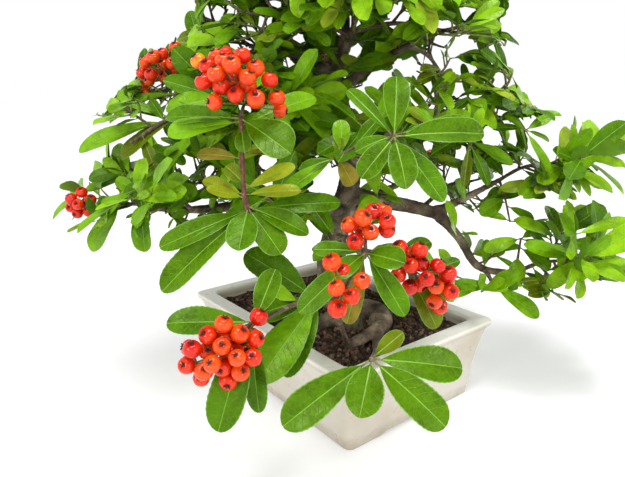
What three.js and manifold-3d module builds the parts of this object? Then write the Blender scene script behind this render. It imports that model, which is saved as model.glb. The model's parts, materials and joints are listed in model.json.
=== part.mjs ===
// A firethorn (Pyracantha) bonsai in berry, in a cream glazed rectangular pot.
// Millimetres, +Z up. The origin is the centre of the pot's flat underside, X runs along
// the pot's short side and Y along its long side.
//
// The plant is laid out for someone who looks over one corner of the pot. Its places are
// written as [side, back, up]: to their right, away from them, and above the underside.

import * as THREE from 'three';
import { mergeVertices } from 'three/addons/utils/BufferGeometryUtils.js';
import Module from 'manifold-3d';

const wasm = await Module();
wasm.setup();

const DEG = Math.PI / 180;
const GOLDEN_ANGLE = 137.5 * DEG;

// ---- Driving sizes ----

const POT_SHORT = 136;
const POT_LONG = 190;
const POT_HEIGHT = 57;
const POT_CORNER = 5; // radius of the upright edges
const CORNER_STEPS = 2;
const RIM_WIDTH = 12;
const FOOT_INSET = 11; // how far the foot stands inside the rim
const ARCH_HEIGHT = 2.4; // shallow arch between the corner feet
const ARCH_DEPTH = 15;
const ARCH_SHARE = 0.52; // of the foot's length on each side
const SOIL_TOP = 50;
const GAP = 0.3; // between pieces that rest on each other
const FRONT_TURN = 53.35 * DEG; // from +X to the direction that points away from the viewer

const TAPER_POWER = 0.85; // how evenly a limb tapers from foot to tip
const FLARE = 4; // added to the radius of a limb that stands in the soil
const FLARE_SHARE = 0.035; // of the limb's length
const LIMB_SIDES = 5;
const LIMB_STEPS = 5;

const BERRY_RADIUS = 4.2;
const BERRY_SIDES = 4;
const LEAF_LENGTH = 50;
const LEAF_WIDTH = 25;
const LEAF_THICK = 1.1;
const LEAF_FOLD = 0.08; // rise of each edge above the midrib, in leaf widths
const LEAF_DROOP = 0.15; // slope of the blade's outer part, from DROOP_FROM to the tip
const DROOP_FROM = 0.6;
const LEAF_ROLL = 110 * DEG; // range of a leaf's turn about its midrib
const LEAF_SPACING = 0.55; // least distance between the midribs of a mass, in leaf widths
const PLACED_SPACING = 0.12; // the same for leaves that have a place of their own
const TWIG_RADIUS = 1.3;
const SPACE_MARGIN = 0.7; // kept from the border of a neighbour's space
const LIMB_MARGIN = 1.3; // kept from every limb
const RIM_MARGIN = 2; // kept above the pot's rim

const TWIGS = 3; // of a mass
const LEAVES_ON_TWIG = 5;
const PLACED_LEAVES = 3; // a mass with more of them than this grows no twigs by the rule
const TRIES = 5; // for each twig and leaf to find a free place
const STEM_STEPS = 3;

// ---- Places and directions ----

const UP = new THREE.Vector3(0, 0, 1);

function place(side, back, up) {
  const across = new THREE.Vector3(Math.sin(FRONT_TURN), -Math.cos(FRONT_TURN), 0);
  const away = new THREE.Vector3(Math.cos(FRONT_TURN), Math.sin(FRONT_TURN), 0);
  return across.multiplyScalar(side).addScaledVector(away, back).addScaledVector(UP, up);
}

// A direction by its bearing (0 to the viewer's right, 90 away from them) and its lift.
function heading(bearing, lift) {
  const flat = Math.cos(lift * DEG);
  return place(flat * Math.cos(bearing * DEG), flat * Math.sin(bearing * DEG), Math.sin(lift * DEG));
}

// Leaves turn their faces up and away from the trunk.
function facing(point) {
  const out = new THREE.Vector3(point.x, point.y, 0).sub(place(8, 0, 0)).setZ(0).normalize();
  return out.multiplyScalar(0.75).addScaledVector(UP, 0.66).normalize();
}

// Seeded numbers from 0 to 1, the same in every run.
function seeded(seed) {
  let state = seed >>> 0;
  return () => {
    state = (state + 0x6d2b79f5) >>> 0;
    let t = state;
    t = Math.imul(t ^ (t >>> 15), t | 1);
    t ^= t + Math.imul(t ^ (t >>> 7), t | 61);
    return ((t ^ (t >>> 14)) >>> 0) / 4294967296;
  };
}

// ---- Solids ----

function solid(geometry) {
  const bare = geometry.clone();
  bare.deleteAttribute('normal');
  bare.deleteAttribute('uv');
  const merged = mergeVertices(bare, 1e-4);
  return new wasm.Manifold(new wasm.Mesh({
    numProp: 3,
    vertProperties: new Float32Array(merged.attributes.position.array),
    triVerts: new Uint32Array(merged.index.array),
  }));
}

// The largest body of a solid, without loose scraps and sealed hollows.
function mainBody(body) {
  return body.decompose().reduce((best, next) => (next.volume() > best.volume() ? next : best));
}

function joined(bodies) {
  return bodies.reduce((whole, next) => whole.add(next));
}

function toMesh(name, body, material) {
  const mesh = body.getMesh();
  const geometry = new THREE.BufferGeometry();
  geometry.setAttribute('position', new THREE.BufferAttribute(new Float32Array(mesh.vertProperties), 3));
  geometry.setIndex(new THREE.BufferAttribute(new Uint32Array(mesh.triVerts), 1));
  geometry.computeVertexNormals();
  const piece = new THREE.Mesh(geometry, material);
  piece.name = name;
  return piece;
}

// A round bar bent along a curve, with radiusAt(0) at its foot and radiusAt(1) at its tip.
function tapered(curve, radiusAt, sides, steps) {
  const bar = new THREE.CylinderGeometry(1, 1, 1, sides, steps);
  const frames = curve.computeFrenetFrames(steps);
  const position = bar.attributes.position;
  for (let i = 0; i < position.count; i += 1) {
    const t = position.getY(i) + 0.5;
    const ring = Math.round(t * steps);
    const point = curve.getPointAt(t)
      .addScaledVector(frames.binormals[ring], position.getX(i) * radiusAt(t))
      .addScaledVector(frames.normals[ring], position.getZ(i) * radiusAt(t));
    position.setXYZ(i, point.x, point.y, point.z);
  }
  return solid(bar);
}

function straightTwig(from, to, radiusFrom, radiusTo) {
  const radiusAt = (t) => radiusFrom + (radiusTo - radiusFrom) * t;
  return tapered(new THREE.LineCurve3(from, to), radiusAt, 3, 1);
}

// ---- Pot and soil ----

// Turns a lathed profile, drawn as [inset from the rim's edge, height], into a body whose
// level sections are rectangles with round corners.
function rectangular(profile, cornerSteps) {
  const wide = POT_LONG;
  const points = profile.map(([inset, up]) => new THREE.Vector2(inset === null ? 0 : wide - inset, up));
  const segments = 4 * (cornerSteps + 1);
  const body = new THREE.LatheGeometry(points, segments);
  const position = body.attributes.position;
  for (let i = 0; i < position.count; i += 1) {
    const inset = wide - Math.hypot(position.getX(i), position.getZ(i));
    const segment = Math.floor(i / points.length) % segments;
    const corner = Math.floor(segment / (cornerSteps + 1));
    const turn = (corner + (segment % (cornerSteps + 1)) / cornerSteps) * 90 * DEG;
    const signX = corner === 0 || corner === 3 ? 1 : -1;
    const signY = corner < 2 ? 1 : -1;
    let x = signX * (POT_SHORT / 2 - inset - POT_CORNER) + POT_CORNER * Math.cos(turn);
    let y = signY * (POT_LONG / 2 - inset - POT_CORNER) + POT_CORNER * Math.sin(turn);
    if (inset > wide - 1) {
      x = 0;
      y = 0;
    }
    position.setXYZ(i, x, y, position.getY(i));
  }
  const made = solid(body);
  if (made.volume() > 0) return made;
  for (let i = 0; i < body.index.count; i += 3) {
    const first = body.index.getX(i);
    body.index.setX(i, body.index.getX(i + 1));
    body.index.setX(i + 1, first);
  }
  return solid(body);
}

// Half of the profile that pot and soil share: the wall's inner face.
const INNER_WALL = [[RIM_WIDTH, 55.8], [RIM_WIDTH + 0.8, SOIL_TOP], [RIM_WIDTH + 2, 30], [RIM_WIDTH + 4, 12]];
const FLOOR = 9;

function archUnder(length) {
  const half = length / 2;
  const shape = new THREE.Shape();
  shape.moveTo(-half, -1);
  shape.lineTo(-half, 0);
  shape.quadraticCurveTo(-half + 3, ARCH_HEIGHT, -half + 9, ARCH_HEIGHT);
  shape.lineTo(half - 9, ARCH_HEIGHT);
  shape.quadraticCurveTo(half - 3, ARCH_HEIGHT, half, 0);
  shape.lineTo(half, -1);
  return new THREE.ExtrudeGeometry(shape, {
    depth: FOOT_INSET + ARCH_DEPTH,
    steps: 1,
    curveSegments: 4,
    bevelEnabled: false,
  });
}

function potBody() {
  const outline = [
    [null, 0], [FOOT_INSET + 0.7, 0], [FOOT_INSET, 0.8], [FOOT_INSET - 0.1, 6.6],
    [9.3, 9.6], [9.2, 14.5], [8.6, 24], [6.6, 35], [3.6, 48], [1.8, 52.4], [0.2, 53.4], [0, 56],
    [0.9, POT_HEIGHT], [RIM_WIDTH - 1, POT_HEIGHT],
    ...INNER_WALL, [RIM_WIDTH + 6.5, FLOOR], [null, FLOOR],
  ];
  let pot = rectangular(outline, CORNER_STEPS);
  const sides = [
    [0, POT_LONG / 2, POT_SHORT], [90, POT_SHORT / 2, POT_LONG],
    [180, POT_LONG / 2, POT_SHORT], [270, POT_SHORT / 2, POT_LONG],
  ];
  for (const [turn, reach, length] of sides) {
    const arch = archUnder((length - 2 * FOOT_INSET) * ARCH_SHARE);
    arch.rotateX(90 * DEG);
    arch.translate(0, reach, 0);
    arch.rotateZ(turn * DEG);
    pot = pot.subtract(solid(arch));
  }
  return pot;
}

function soilBody() {
  const wall = INNER_WALL.slice(2).map(([inset, up]) => [inset + GAP, up]).reverse();
  return rectangular([
    [null, FLOOR + GAP], [RIM_WIDTH + 7, FLOOR + GAP], ...wall,
    [RIM_WIDTH + 1.3, SOIL_TOP - 2], [RIM_WIDTH + 5, SOIL_TOP - 0.4], [RIM_WIDTH + 12, SOIL_TOP],
    [null, SOIL_TOP],
  ], CORNER_STEPS);
}

// ---- Limbs ----

// Each limb: the places that its middle runs through, its radius at the foot and at the tip,
// and the limb that it grows from.
const LIMBS = {
  trunk: {
    path: [
      [13, -19, 44], [12, -18, 54], [4, -13, 70], [-1, -8, 92], [6, -1, 125],
      [14, 2, 152], [12, 5, 190], [6, 8, 222], [12, 10, 254], [13, 8, 280],
    ],
    foot: 13.5, tip: 1.8, sides: 9, steps: 14,
  },
  left_bough: {
    from: 'trunk', foot: 6.2, tip: 2.2,
    path: [[7, -1, 132], [-22, 0, 139], [-59, -3, 136], [-94, -2, 133], [-127, -4, 135]],
  },
  left_rising_bough: {
    from: 'trunk', foot: 5.2, tip: 1.9,
    path: [[12, 4, 176], [-22, 2, 192], [-60, -6, 197], [-98, -8, 206]],
  },
  high_left_bough: {
    from: 'trunk', foot: 4, tip: 1.7,
    path: [[7, 8, 222], [-20, 6, 236], [-54, 2, 244]],
  },
  right_bough: {
    from: 'trunk', foot: 6.6, tip: 4.2,
    path: [[12, 1, 141], [39, 3, 134], [58, -1, 131], [77, -6, 126]],
  },
  right_drooping_bough: {
    from: 'right_bough', foot: 3.9, tip: 2.2,
    path: [[78, -6, 124], [90, -13, 110], [102, -21, 91], [126, -25, 86]],
  },
  right_outer_bough: {
    from: 'right_bough', foot: 3.6, tip: 1.8,
    path: [[76, -5, 128], [95, -2, 136], [118, -3, 148]],
  },
  right_rising_bough: {
    from: 'trunk', foot: 5, tip: 1.9,
    path: [[13, 4, 168], [42, 2, 188], [84, -6, 198]],
  },
  high_right_bough: {
    from: 'trunk', foot: 4, tip: 1.7,
    path: [[8, 8, 214], [38, 4, 234], [76, 4, 250]],
  },
  front_left_bough: {
    from: 'trunk', foot: 4.6, tip: 2,
    path: [[10, -1, 128], [-10, -46, 141], [-38, -104, 150]],
  },
  front_right_bough: {
    from: 'trunk', foot: 4.4, tip: 2,
    path: [[3, -3, 108], [10, -60, 122], [12, -118, 130]],
  },
  front_rising_bough: {
    from: 'trunk', foot: 4.2, tip: 1.9,
    path: [[14, 2, 160], [20, -50, 180], [24, -104, 188]],
  },
  high_front_bough: {
    from: 'trunk', foot: 3.4, tip: 1.6,
    path: [[7, 8, 230], [12, -16, 244], [14, -38, 250]],
  },
  back_left_bough: {
    from: 'trunk', foot: 4.8, tip: 2,
    path: [[4, -2, 116], [-20, 34, 134], [-44, 72, 144]],
  },
  back_bough: {
    from: 'trunk', foot: 4.8, tip: 2,
    path: [[14, 2, 152], [8, 44, 160], [4, 90, 160]],
  },
  back_right_bough: {
    from: 'trunk', foot: 4.6, tip: 2,
    path: [[7, -1, 124], [38, 34, 134], [64, 74, 136]],
  },
  high_back_bough: {
    from: 'trunk', foot: 3.8, tip: 1.7,
    path: [[9, 7, 204], [8, 36, 222], [4, 64, 232]],
  },
};

// Roots that show above the soil, part of the trunk's solid.
const ROOTS = [
  { path: [[12, -19, 62], [30, -22, 60], [34, -38, 58], [22, -52, 55], [5, -60, 51]], foot: 8, tip: 3.2 },
  { path: [[30, -38, 58], [28, -52, 55], [25, -66, 51]], foot: 5, tip: 2.6 },
  { path: [[12, -18, 60], [-6, -24, 54], [-24, -30, 46]], foot: 8, tip: 3 },
  { path: [[12, -18, 60], [2, 2, 54], [-8, 20, 46]], foot: 8, tip: 3 },
  { path: [[12, -18, 60], [30, -6, 54], [46, 4, 46]], foot: 8, tip: 3 },
];

function curveOf(path) {
  return new THREE.CatmullRomCurve3(path.map((point) => place(...point)), false, 'centripetal');
}

function limbRadius(limb) {
  const flare = limb.from ? 0 : FLARE;
  return (t) => limb.foot + (limb.tip - limb.foot) * t ** TAPER_POWER + flare * Math.exp(-t / FLARE_SHARE);
}

function limbBody(limb, extra) {
  const radiusAt = limbRadius(limb);
  const { sides = LIMB_SIDES, steps = LIMB_STEPS } = limb;
  return tapered(curveOf(limb.path), (t) => radiusAt(t) + extra, sides, steps);
}

function aboveSoil(body) {
  const size = 2 * POT_LONG;
  const block = new THREE.BoxGeometry(size, size, size);
  block.translate(0, 0, SOIL_TOP + GAP + size / 2);
  return body.intersect(solid(block));
}

function trunkBody() {
  const roots = ROOTS.map((root) => limbBody({ from: 'trunk', ...root }, 0));
  return mainBody(aboveSoil(joined([limbBody(LIMBS.trunk, 0), ...roots])));
}

// ---- Foliage masses ----

// Each mass grows from one stem that leaves its limb at a share of the limb's length and ends
// at the middle of the mass. Reach is how far its twigs spread. The balls that mark out its
// space are [side, back, up, radius], and without any it has one of its reach. Leaves that have
// a place of their own are [share along the stem, bearing, lift, length, width], and a head of
// fruit is { at, count, spread }. A mass can have a seed of its own.
const MASSES = [
  // sprays at the front, near the viewer
  {
    name: 'front_low_spray', limb: 'root', root: 0, along: 0.96, centre: [-45, -163, 112], reach: 36,
    bend: [-10, -113, 105],
    balls: [[-45, -163, 112, 36], [-24, -134, 114, 32], [-78, -164, 108, 32]],
    leaves: [
      [0.62, 164, 34, 38, 16], [0.64, 232, -24, 46, 16], [0.56, 236, -32, 38, 14], [0.97, 185, 9, 37, 13],
      [0.98, 52, 46, 29, 12], [1, 242, -56, 46, 17], [1, 290, -71, 40, 11],
    ],
    heads: [{ at: [-53, -170, 105], count: 19, spread: 13.5 }],
  },
  {
    name: 'front_whorl', limb: 'root', root: 1, along: 0.96, centre: [8, -194, 110], reach: 34,
    bend: [17, -128, 79],
    balls: [[8, -196, 106, 28], [14, -170, 84, 28]],
    leaves: [
      [1, 203, -24, 43, 15], [1, 250, -38, 25, 15], [1, 328, -28, 39, 15], [1, 358, -4, 38, 15],
      [0.9, 10, 34, 16, 8],
    ],
    heads: [],
  },
  {
    name: 'front_fruit_spray', limb: 'front_right_bough', along: 1, centre: [10, -150, 141], reach: 30,
    balls: [[6, -150, 146, 25], [-4, -168, 130, 26], [-14, -144, 142, 27], [14, -152, 120, 24]],
    leaves: [
      [1, 224, -4, 24, 11], [1, 318, 2, 22, 14], [1, 306, -40, 34, 12], [0.9, 158, 8, 26, 9],
      [0.8, 200, -30, 30, 11], [0.7, 330, -45, 26, 12],
    ],
    heads: [{ at: [7, -150, 156], count: 7, spread: 8 }, { at: [-2, -168, 128], count: 5, spread: 7 }],
  },
  {
    name: 'front_fruit_twig', limb: 'front_right_bough', along: 0.82, centre: [38, -132, 122], reach: 28,
    balls: [[38, -136, 122, 28], [56, -132, 108, 26]],
    leaves: [[1, 0, -10, 20, 7], [0.9, 10, 25, 18, 7], [0.75, 320, -45, 30, 13], [0.6, 20, 20, 24, 10]],
    heads: [{ at: [31, -141, 131], count: 9, spread: 8.5 }, { at: [47, -138, 117], count: 5, spread: 7 }],
  },
  {
    name: 'front_left_shoot', limb: 'front_left_bough', along: 1, centre: [-47, -122, 203], reach: 36,
    bend: [-46, -125, 159],
    balls: [[-46, -128, 158, 38], [-47, -122, 200, 36], [-82, -142, 142, 34], [-14, -118, 160, 26]],
    leaves: [
      [0.31, 214, -29, 55, 15], [0.33, 198, -17, 46, 14], [0.35, 241, -33, 27, 16], [0.35, 310, -37, 27, 14],
      [0.37, 351, -19, 32, 12], [0.33, 11, 2, 48, 11], [0.37, 120, 20, 26, 11],
      [0.6, 172, 16, 21, 8], [0.63, 10, 34, 21, 8], [0.54, 352, 8, 19, 7], [0.75, 182, 4, 22, 8],
      [0.78, 4, 6, 21, 7], [0.9, 342, -12, 27, 18], [0.93, 176, -4, 34, 13], [0.87, 150, 0, 30, 12],
      [0.95, 60, 10, 30, 12],
    ],
    heads: [{ at: [-47, -124, 217], count: 18, spread: 13.5 }],
  },
  {
    name: 'front_right_whorl', limb: 'front_rising_bough', along: 1, centre: [25, -134, 192], reach: 36,
    leaves: [
      [1, 76, 66, 32, 13], [1, 350, 9, 41, 14], [1, 216, -38, 27, 12], [1, 276, -43, 26, 13],
      [0.95, 320, -42, 38, 12], [0.9, 140, 42, 36, 10], [0.9, 176, -6, 22, 9], [0.85, 16, 18, 44, 10],
    ],
    heads: [],
  },
  // the left side
  {
    name: 'left_tip', limb: 'left_bough', along: 1, centre: [-150, -8, 139], reach: 26,
    leaves: [[0.4, 262, -58, 34, 14], [0.95, 262, -58, 36, 17]],
    heads: [{ at: [-164, -14, 141], count: 5, spread: 7 }],
  },
  { name: 'left_front', limb: 'left_bough', along: 0.8, centre: [-112, -34, 150], reach: 32, seed: 1 },
  { name: 'left_back', limb: 'left_bough', along: 0.66, centre: [-104, 40, 150], reach: 40 },
  { name: 'left_inner', limb: 'left_bough', along: 0.42, centre: [-62, -24, 164], reach: 32, seed: 8 },
  {
    name: 'left_fruit_spray', limb: 'left_rising_bough', along: 1, centre: [-108, 4, 220], reach: 34,
    leaves: [],
    heads: [{ at: [-106, 2, 231], count: 16, spread: 13 }],
  },
  {
    name: 'left_point', limb: 'left_rising_bough', along: 0.86, centre: [-130, -32, 184], reach: 32,
    leaves: [[0.95, 202, -4, 42, 14], [0.9, 184, 2, 40, 13]],
    heads: [],
  },
  { name: 'high_left', limb: 'high_left_bough', along: 1, centre: [-82, 2, 262], reach: 32 },
  { name: 'high_left_back', limb: 'high_left_bough', along: 0.7, centre: [-66, 56, 238], reach: 40, seed: 1 },
  { name: 'inner_left_front', limb: 'left_rising_bough', along: 0.45, centre: [-44, -54, 208], reach: 36 },
  // the top
  { name: 'top', limb: 'trunk', along: 1, centre: [12, 6, 303], reach: 30, seed: 4 },
  { name: 'top_left', limb: 'trunk', along: 0.9, centre: [-40, 6, 284], reach: 34, seed: 1 },
  { name: 'top_right', limb: 'trunk', along: 0.93, centre: [62, 8, 282], reach: 34 },
  { name: 'top_front', limb: 'high_front_bough', along: 1, centre: [18, -62, 270], reach: 36 },
  { name: 'top_back', limb: 'trunk', along: 0.86, centre: [16, 62, 282], reach: 38 },
  {
    name: 'upper_front_left', limb: 'high_front_bough', along: 0.7, centre: [-42, -46, 258], reach: 34,
    seed: 8,
  },
  {
    name: 'upper_front_right', limb: 'high_front_bough', along: 0.85, centre: [66, -46, 246], reach: 34,
    seed: 12,
  },
  // the right side
  { name: 'high_right', limb: 'high_right_bough', along: 1, centre: [112, 6, 250], reach: 34, seed: 3 },
  { name: 'right_upper', limb: 'right_rising_bough', along: 1, centre: [118, -18, 206], reach: 36 },
  { name: 'right_inner', limb: 'right_rising_bough', along: 0.6, centre: [66, -52, 192], reach: 34 },
  { name: 'right_tip', limb: 'right_outer_bough', along: 1, centre: [150, -2, 160], reach: 36 },
  { name: 'right_low_tip', limb: 'right_drooping_bough', along: 1, centre: [158, -28, 96], reach: 34 },
  {
    name: 'right_hanging', limb: 'right_drooping_bough', along: 0.7, centre: [108, -38, 82], reach: 24,
    leaves: [[1, 195, 8, 30, 10], [1, 330, -28, 36, 13]],
    heads: [],
  },
  { name: 'right_back', limb: 'right_bough', along: 0.8, centre: [112, 46, 140], reach: 40, seed: 5 },
  { name: 'right_back_upper', limb: 'high_right_bough', along: 0.7, centre: [94, 62, 218], reach: 40 },
  // the back
  { name: 'back_left_low', limb: 'back_left_bough', along: 1, centre: [-72, 104, 146], reach: 40 },
  { name: 'back_low', limb: 'back_bough', along: 1, centre: [4, 128, 156], reach: 40 },
  {
    name: 'back_right_low', limb: 'back_right_bough', along: 1, centre: [84, 106, 142], reach: 40,
    leaves: [],
    heads: [{ at: [96, 124, 150], count: 7, spread: 8 }],
  },
  { name: 'back_left_upper', limb: 'high_back_bough', along: 0.6, centre: [-56, 98, 212], reach: 38 },
  {
    name: 'back_upper', limb: 'high_back_bough', along: 1, centre: [8, 104, 234], reach: 38,
    leaves: [],
    heads: [{ at: [2, 128, 240], count: 7, spread: 8 }],
  },
];

// The straight stretches through a row of evenly spaced points, as one curve.
function polyline(points) {
  const path = new THREE.CurvePath();
  points.slice(1).forEach((point, i) => path.add(new THREE.LineCurve3(points[i], point)));
  return path;
}

function stemOf(mass) {
  const limb = mass.limb === 'root' ? { from: 'trunk', ...ROOTS[mass.root] } : LIMBS[mass.limb];
  const start = curveOf(limb.path).getPointAt(mass.along);
  const end = place(...mass.centre);
  const middle = mass.bend
    ? place(...mass.bend)
    : start.clone().lerp(end, 0.5).addScaledVector(UP, 0.08 * start.distanceTo(end));
  const bent = new THREE.CatmullRomCurve3([start, middle, end], false, 'centripetal');
  const foot = Math.min(TWIG_RADIUS + 0.5, limbRadius(limb)(mass.along) * 0.8);
  const tip = TWIG_RADIUS - 0.2;
  return { curve: polyline(bent.getSpacedPoints(STEM_STEPS)), radiusAt: (t) => foot + (tip - foot) * t };
}

// Every limb and stem as a row of balls, for the tests of what lies clear.
const BEADS = [];

function addBeads(owner, curve, radiusAt) {
  const count = Math.ceil(curve.getLength() / 3);
  for (let i = 0; i <= count; i += 1) {
    BEADS.push({ owner, centre: curve.getPointAt(i / count), radius: radiusAt(i / count) });
  }
}

for (const [name, limb] of Object.entries(LIMBS)) addBeads(name, curveOf(limb.path), limbRadius(limb));
for (const root of ROOTS) addBeads('trunk', curveOf(root.path), limbRadius({ from: 'trunk', ...root }));
for (const mass of MASSES) {
  mass.stem = stemOf(mass);
  const balls = mass.balls ?? [[...mass.centre, mass.reach]];
  mass.balls = balls.map(([side, back, up, reach]) => ({ middle: place(side, back, up), reach }));
  addBeads(mass.name, mass.stem.curve, mass.stem.radiusAt);
}

// The space of a mass is where one of its own balls is the one that a point is deepest in.
function depthIn(ball, point) {
  return point.distanceToSquared(ball.middle) - ball.reach ** 2;
}

function inOwnSpace(mass, point, radius) {
  const own = mass.balls.reduce((best, next) => (depthIn(next, point) < depthIn(best, point) ? next : best));
  const depth = depthIn(own, point);
  return MASSES.every((other) => other === mass || other.balls.every((ball) => {
    const border = 2 * own.middle.distanceTo(ball.middle);
    return depthIn(ball, point) - depth > border * (SPACE_MARGIN + radius);
  }));
}

function isClear(mass, from, to, radius) {
  const samples = Math.ceil(from.distanceTo(to) / 4);
  for (let i = 0; i <= samples; i += 1) {
    const point = from.clone().lerp(to, i / samples);
    if (point.z < POT_HEIGHT + RIM_MARGIN + radius) return false;
    for (const bead of BEADS) {
      const apart = bead.radius + radius + LIMB_MARGIN;
      if (bead.owner !== mass.name && bead.centre.distanceToSquared(point) < apart * apart) return false;
    }
  }
  return true;
}

// A leaf is a blade with a sharp edge, folded up along its midrib, its tip bent down.
function leafFrame(base, direction, roll) {
  const along = direction.clone().normalize();
  const normal = facing(base);
  normal.addScaledVector(along, -normal.dot(along)).normalize().applyAxisAngle(along, roll);
  return { along, normal, across: new THREE.Vector3().crossVectors(along, normal) };
}

// A place on the blade: x along the midrib from 0 to 1, y across it from -1 to 1, and its
// height above the upper face.
function leafPoint(base, frame, length, width, x, y, height) {
  const rise = Math.abs(y) * width * LEAF_FOLD - Math.max(0, x - DROOP_FROM) * length * LEAF_DROOP;
  return base.clone()
    .addScaledVector(frame.along, x * length)
    .addScaledVector(frame.across, y * width / 2)
    .addScaledVector(frame.normal, height + rise);
}

function leafOutline(base, frame, length, width) {
  const marks = [[1, 0], [0.6, 1], [0.6, -1], [0.6, 0.5], [0.6, -0.5], [0.82, 0.5], [0.82, -0.5]];
  return marks.map(([x, y]) => leafPoint(base, frame, length, width, x, y, 0));
}

function leafFits(mass, base, frame, length, width) {
  const rim = leafOutline(base, frame, length, width);
  const start = base.clone().addScaledVector(frame.along, 3);
  return rim.every((point) => inOwnSpace(mass, point, LEAF_THICK))
    && rim.every((point) => isClear(mass, start, point, LEAF_THICK));
}

function leafBody(base, frame, length, width, corners) {
  const blade = new THREE.SphereGeometry(1, corners, 2);
  const position = blade.attributes.position;
  const widest = Math.sin(Math.PI * 2 * Math.floor(corners / 4) / corners);
  for (let i = 0; i < position.count; i += 1) {
    const share = ((position.getX(i) + 1) / 2) ** 0.75;
    const side = position.getZ(i) / widest * (corners > 4 ? 0.6 + 0.42 * share : 1);
    const point = leafPoint(base, frame, length, width, share, side, position.getY(i) * LEAF_THICK / 2);
    position.setXYZ(i, point.x, point.y, point.z);
  }
  return solid(blade);
}

// A berry on its stalk, which widens from the middle of the head.
function berryBody(from, centre) {
  const reach = from.distanceTo(centre);
  const profile = [[0, 0], [BERRY_RADIUS, reach], [0, reach + BERRY_RADIUS]];
  const berry = new THREE.LatheGeometry(profile.map(([out, up]) => new THREE.Vector2(out, up)), BERRY_SIDES);
  const outward = centre.clone().sub(from).normalize();
  berry.applyQuaternion(new THREE.Quaternion().setFromUnitVectors(new THREE.Vector3(0, 1, 0), outward));
  berry.translate(from.x, from.y, from.z);
  return solid(berry);
}

function ballBody(centre, radius) {
  const ball = new THREE.IcosahedronGeometry(radius, 0);
  ball.translate(centre.x, centre.y, centre.z);
  return solid(ball);
}

// A head of fruit: berries spread evenly over the ball of their stalks, but not where it
// meets the twig.
function growHead(mass, head, bodies) {
  const centre = place(...head.at);
  const root = mass.stem.curve.getPointAt(0.97);
  const outward = centre.clone().sub(root).addScaledVector(facing(centre), 12).normalize();
  const side = new THREE.Vector3().crossVectors(outward, UP).normalize();
  const other = new THREE.Vector3().crossVectors(outward, side);
  bodies.push(straightTwig(root, centre, TWIG_RADIUS * 0.9, TWIG_RADIUS * 0.8));
  bodies.push(ballBody(centre, head.spread * 0.45));
  for (let i = 0; i < head.count; i += 1) {
    const height = 1 - 1.45 * (i + 0.5) / head.count;
    const ring = Math.sqrt(1 - height * height);
    const turn = i * GOLDEN_ANGLE;
    const berry = centre.clone()
      .addScaledVector(outward, head.spread * height)
      .addScaledVector(side, head.spread * ring * Math.cos(turn))
      .addScaledVector(other, head.spread * ring * Math.sin(turn));
    if (!inOwnSpace(mass, berry, BERRY_RADIUS) || !isClear(mass, berry, berry, BERRY_RADIUS)) continue;
    bodies.push(berryBody(centre, berry));
  }
}

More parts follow.
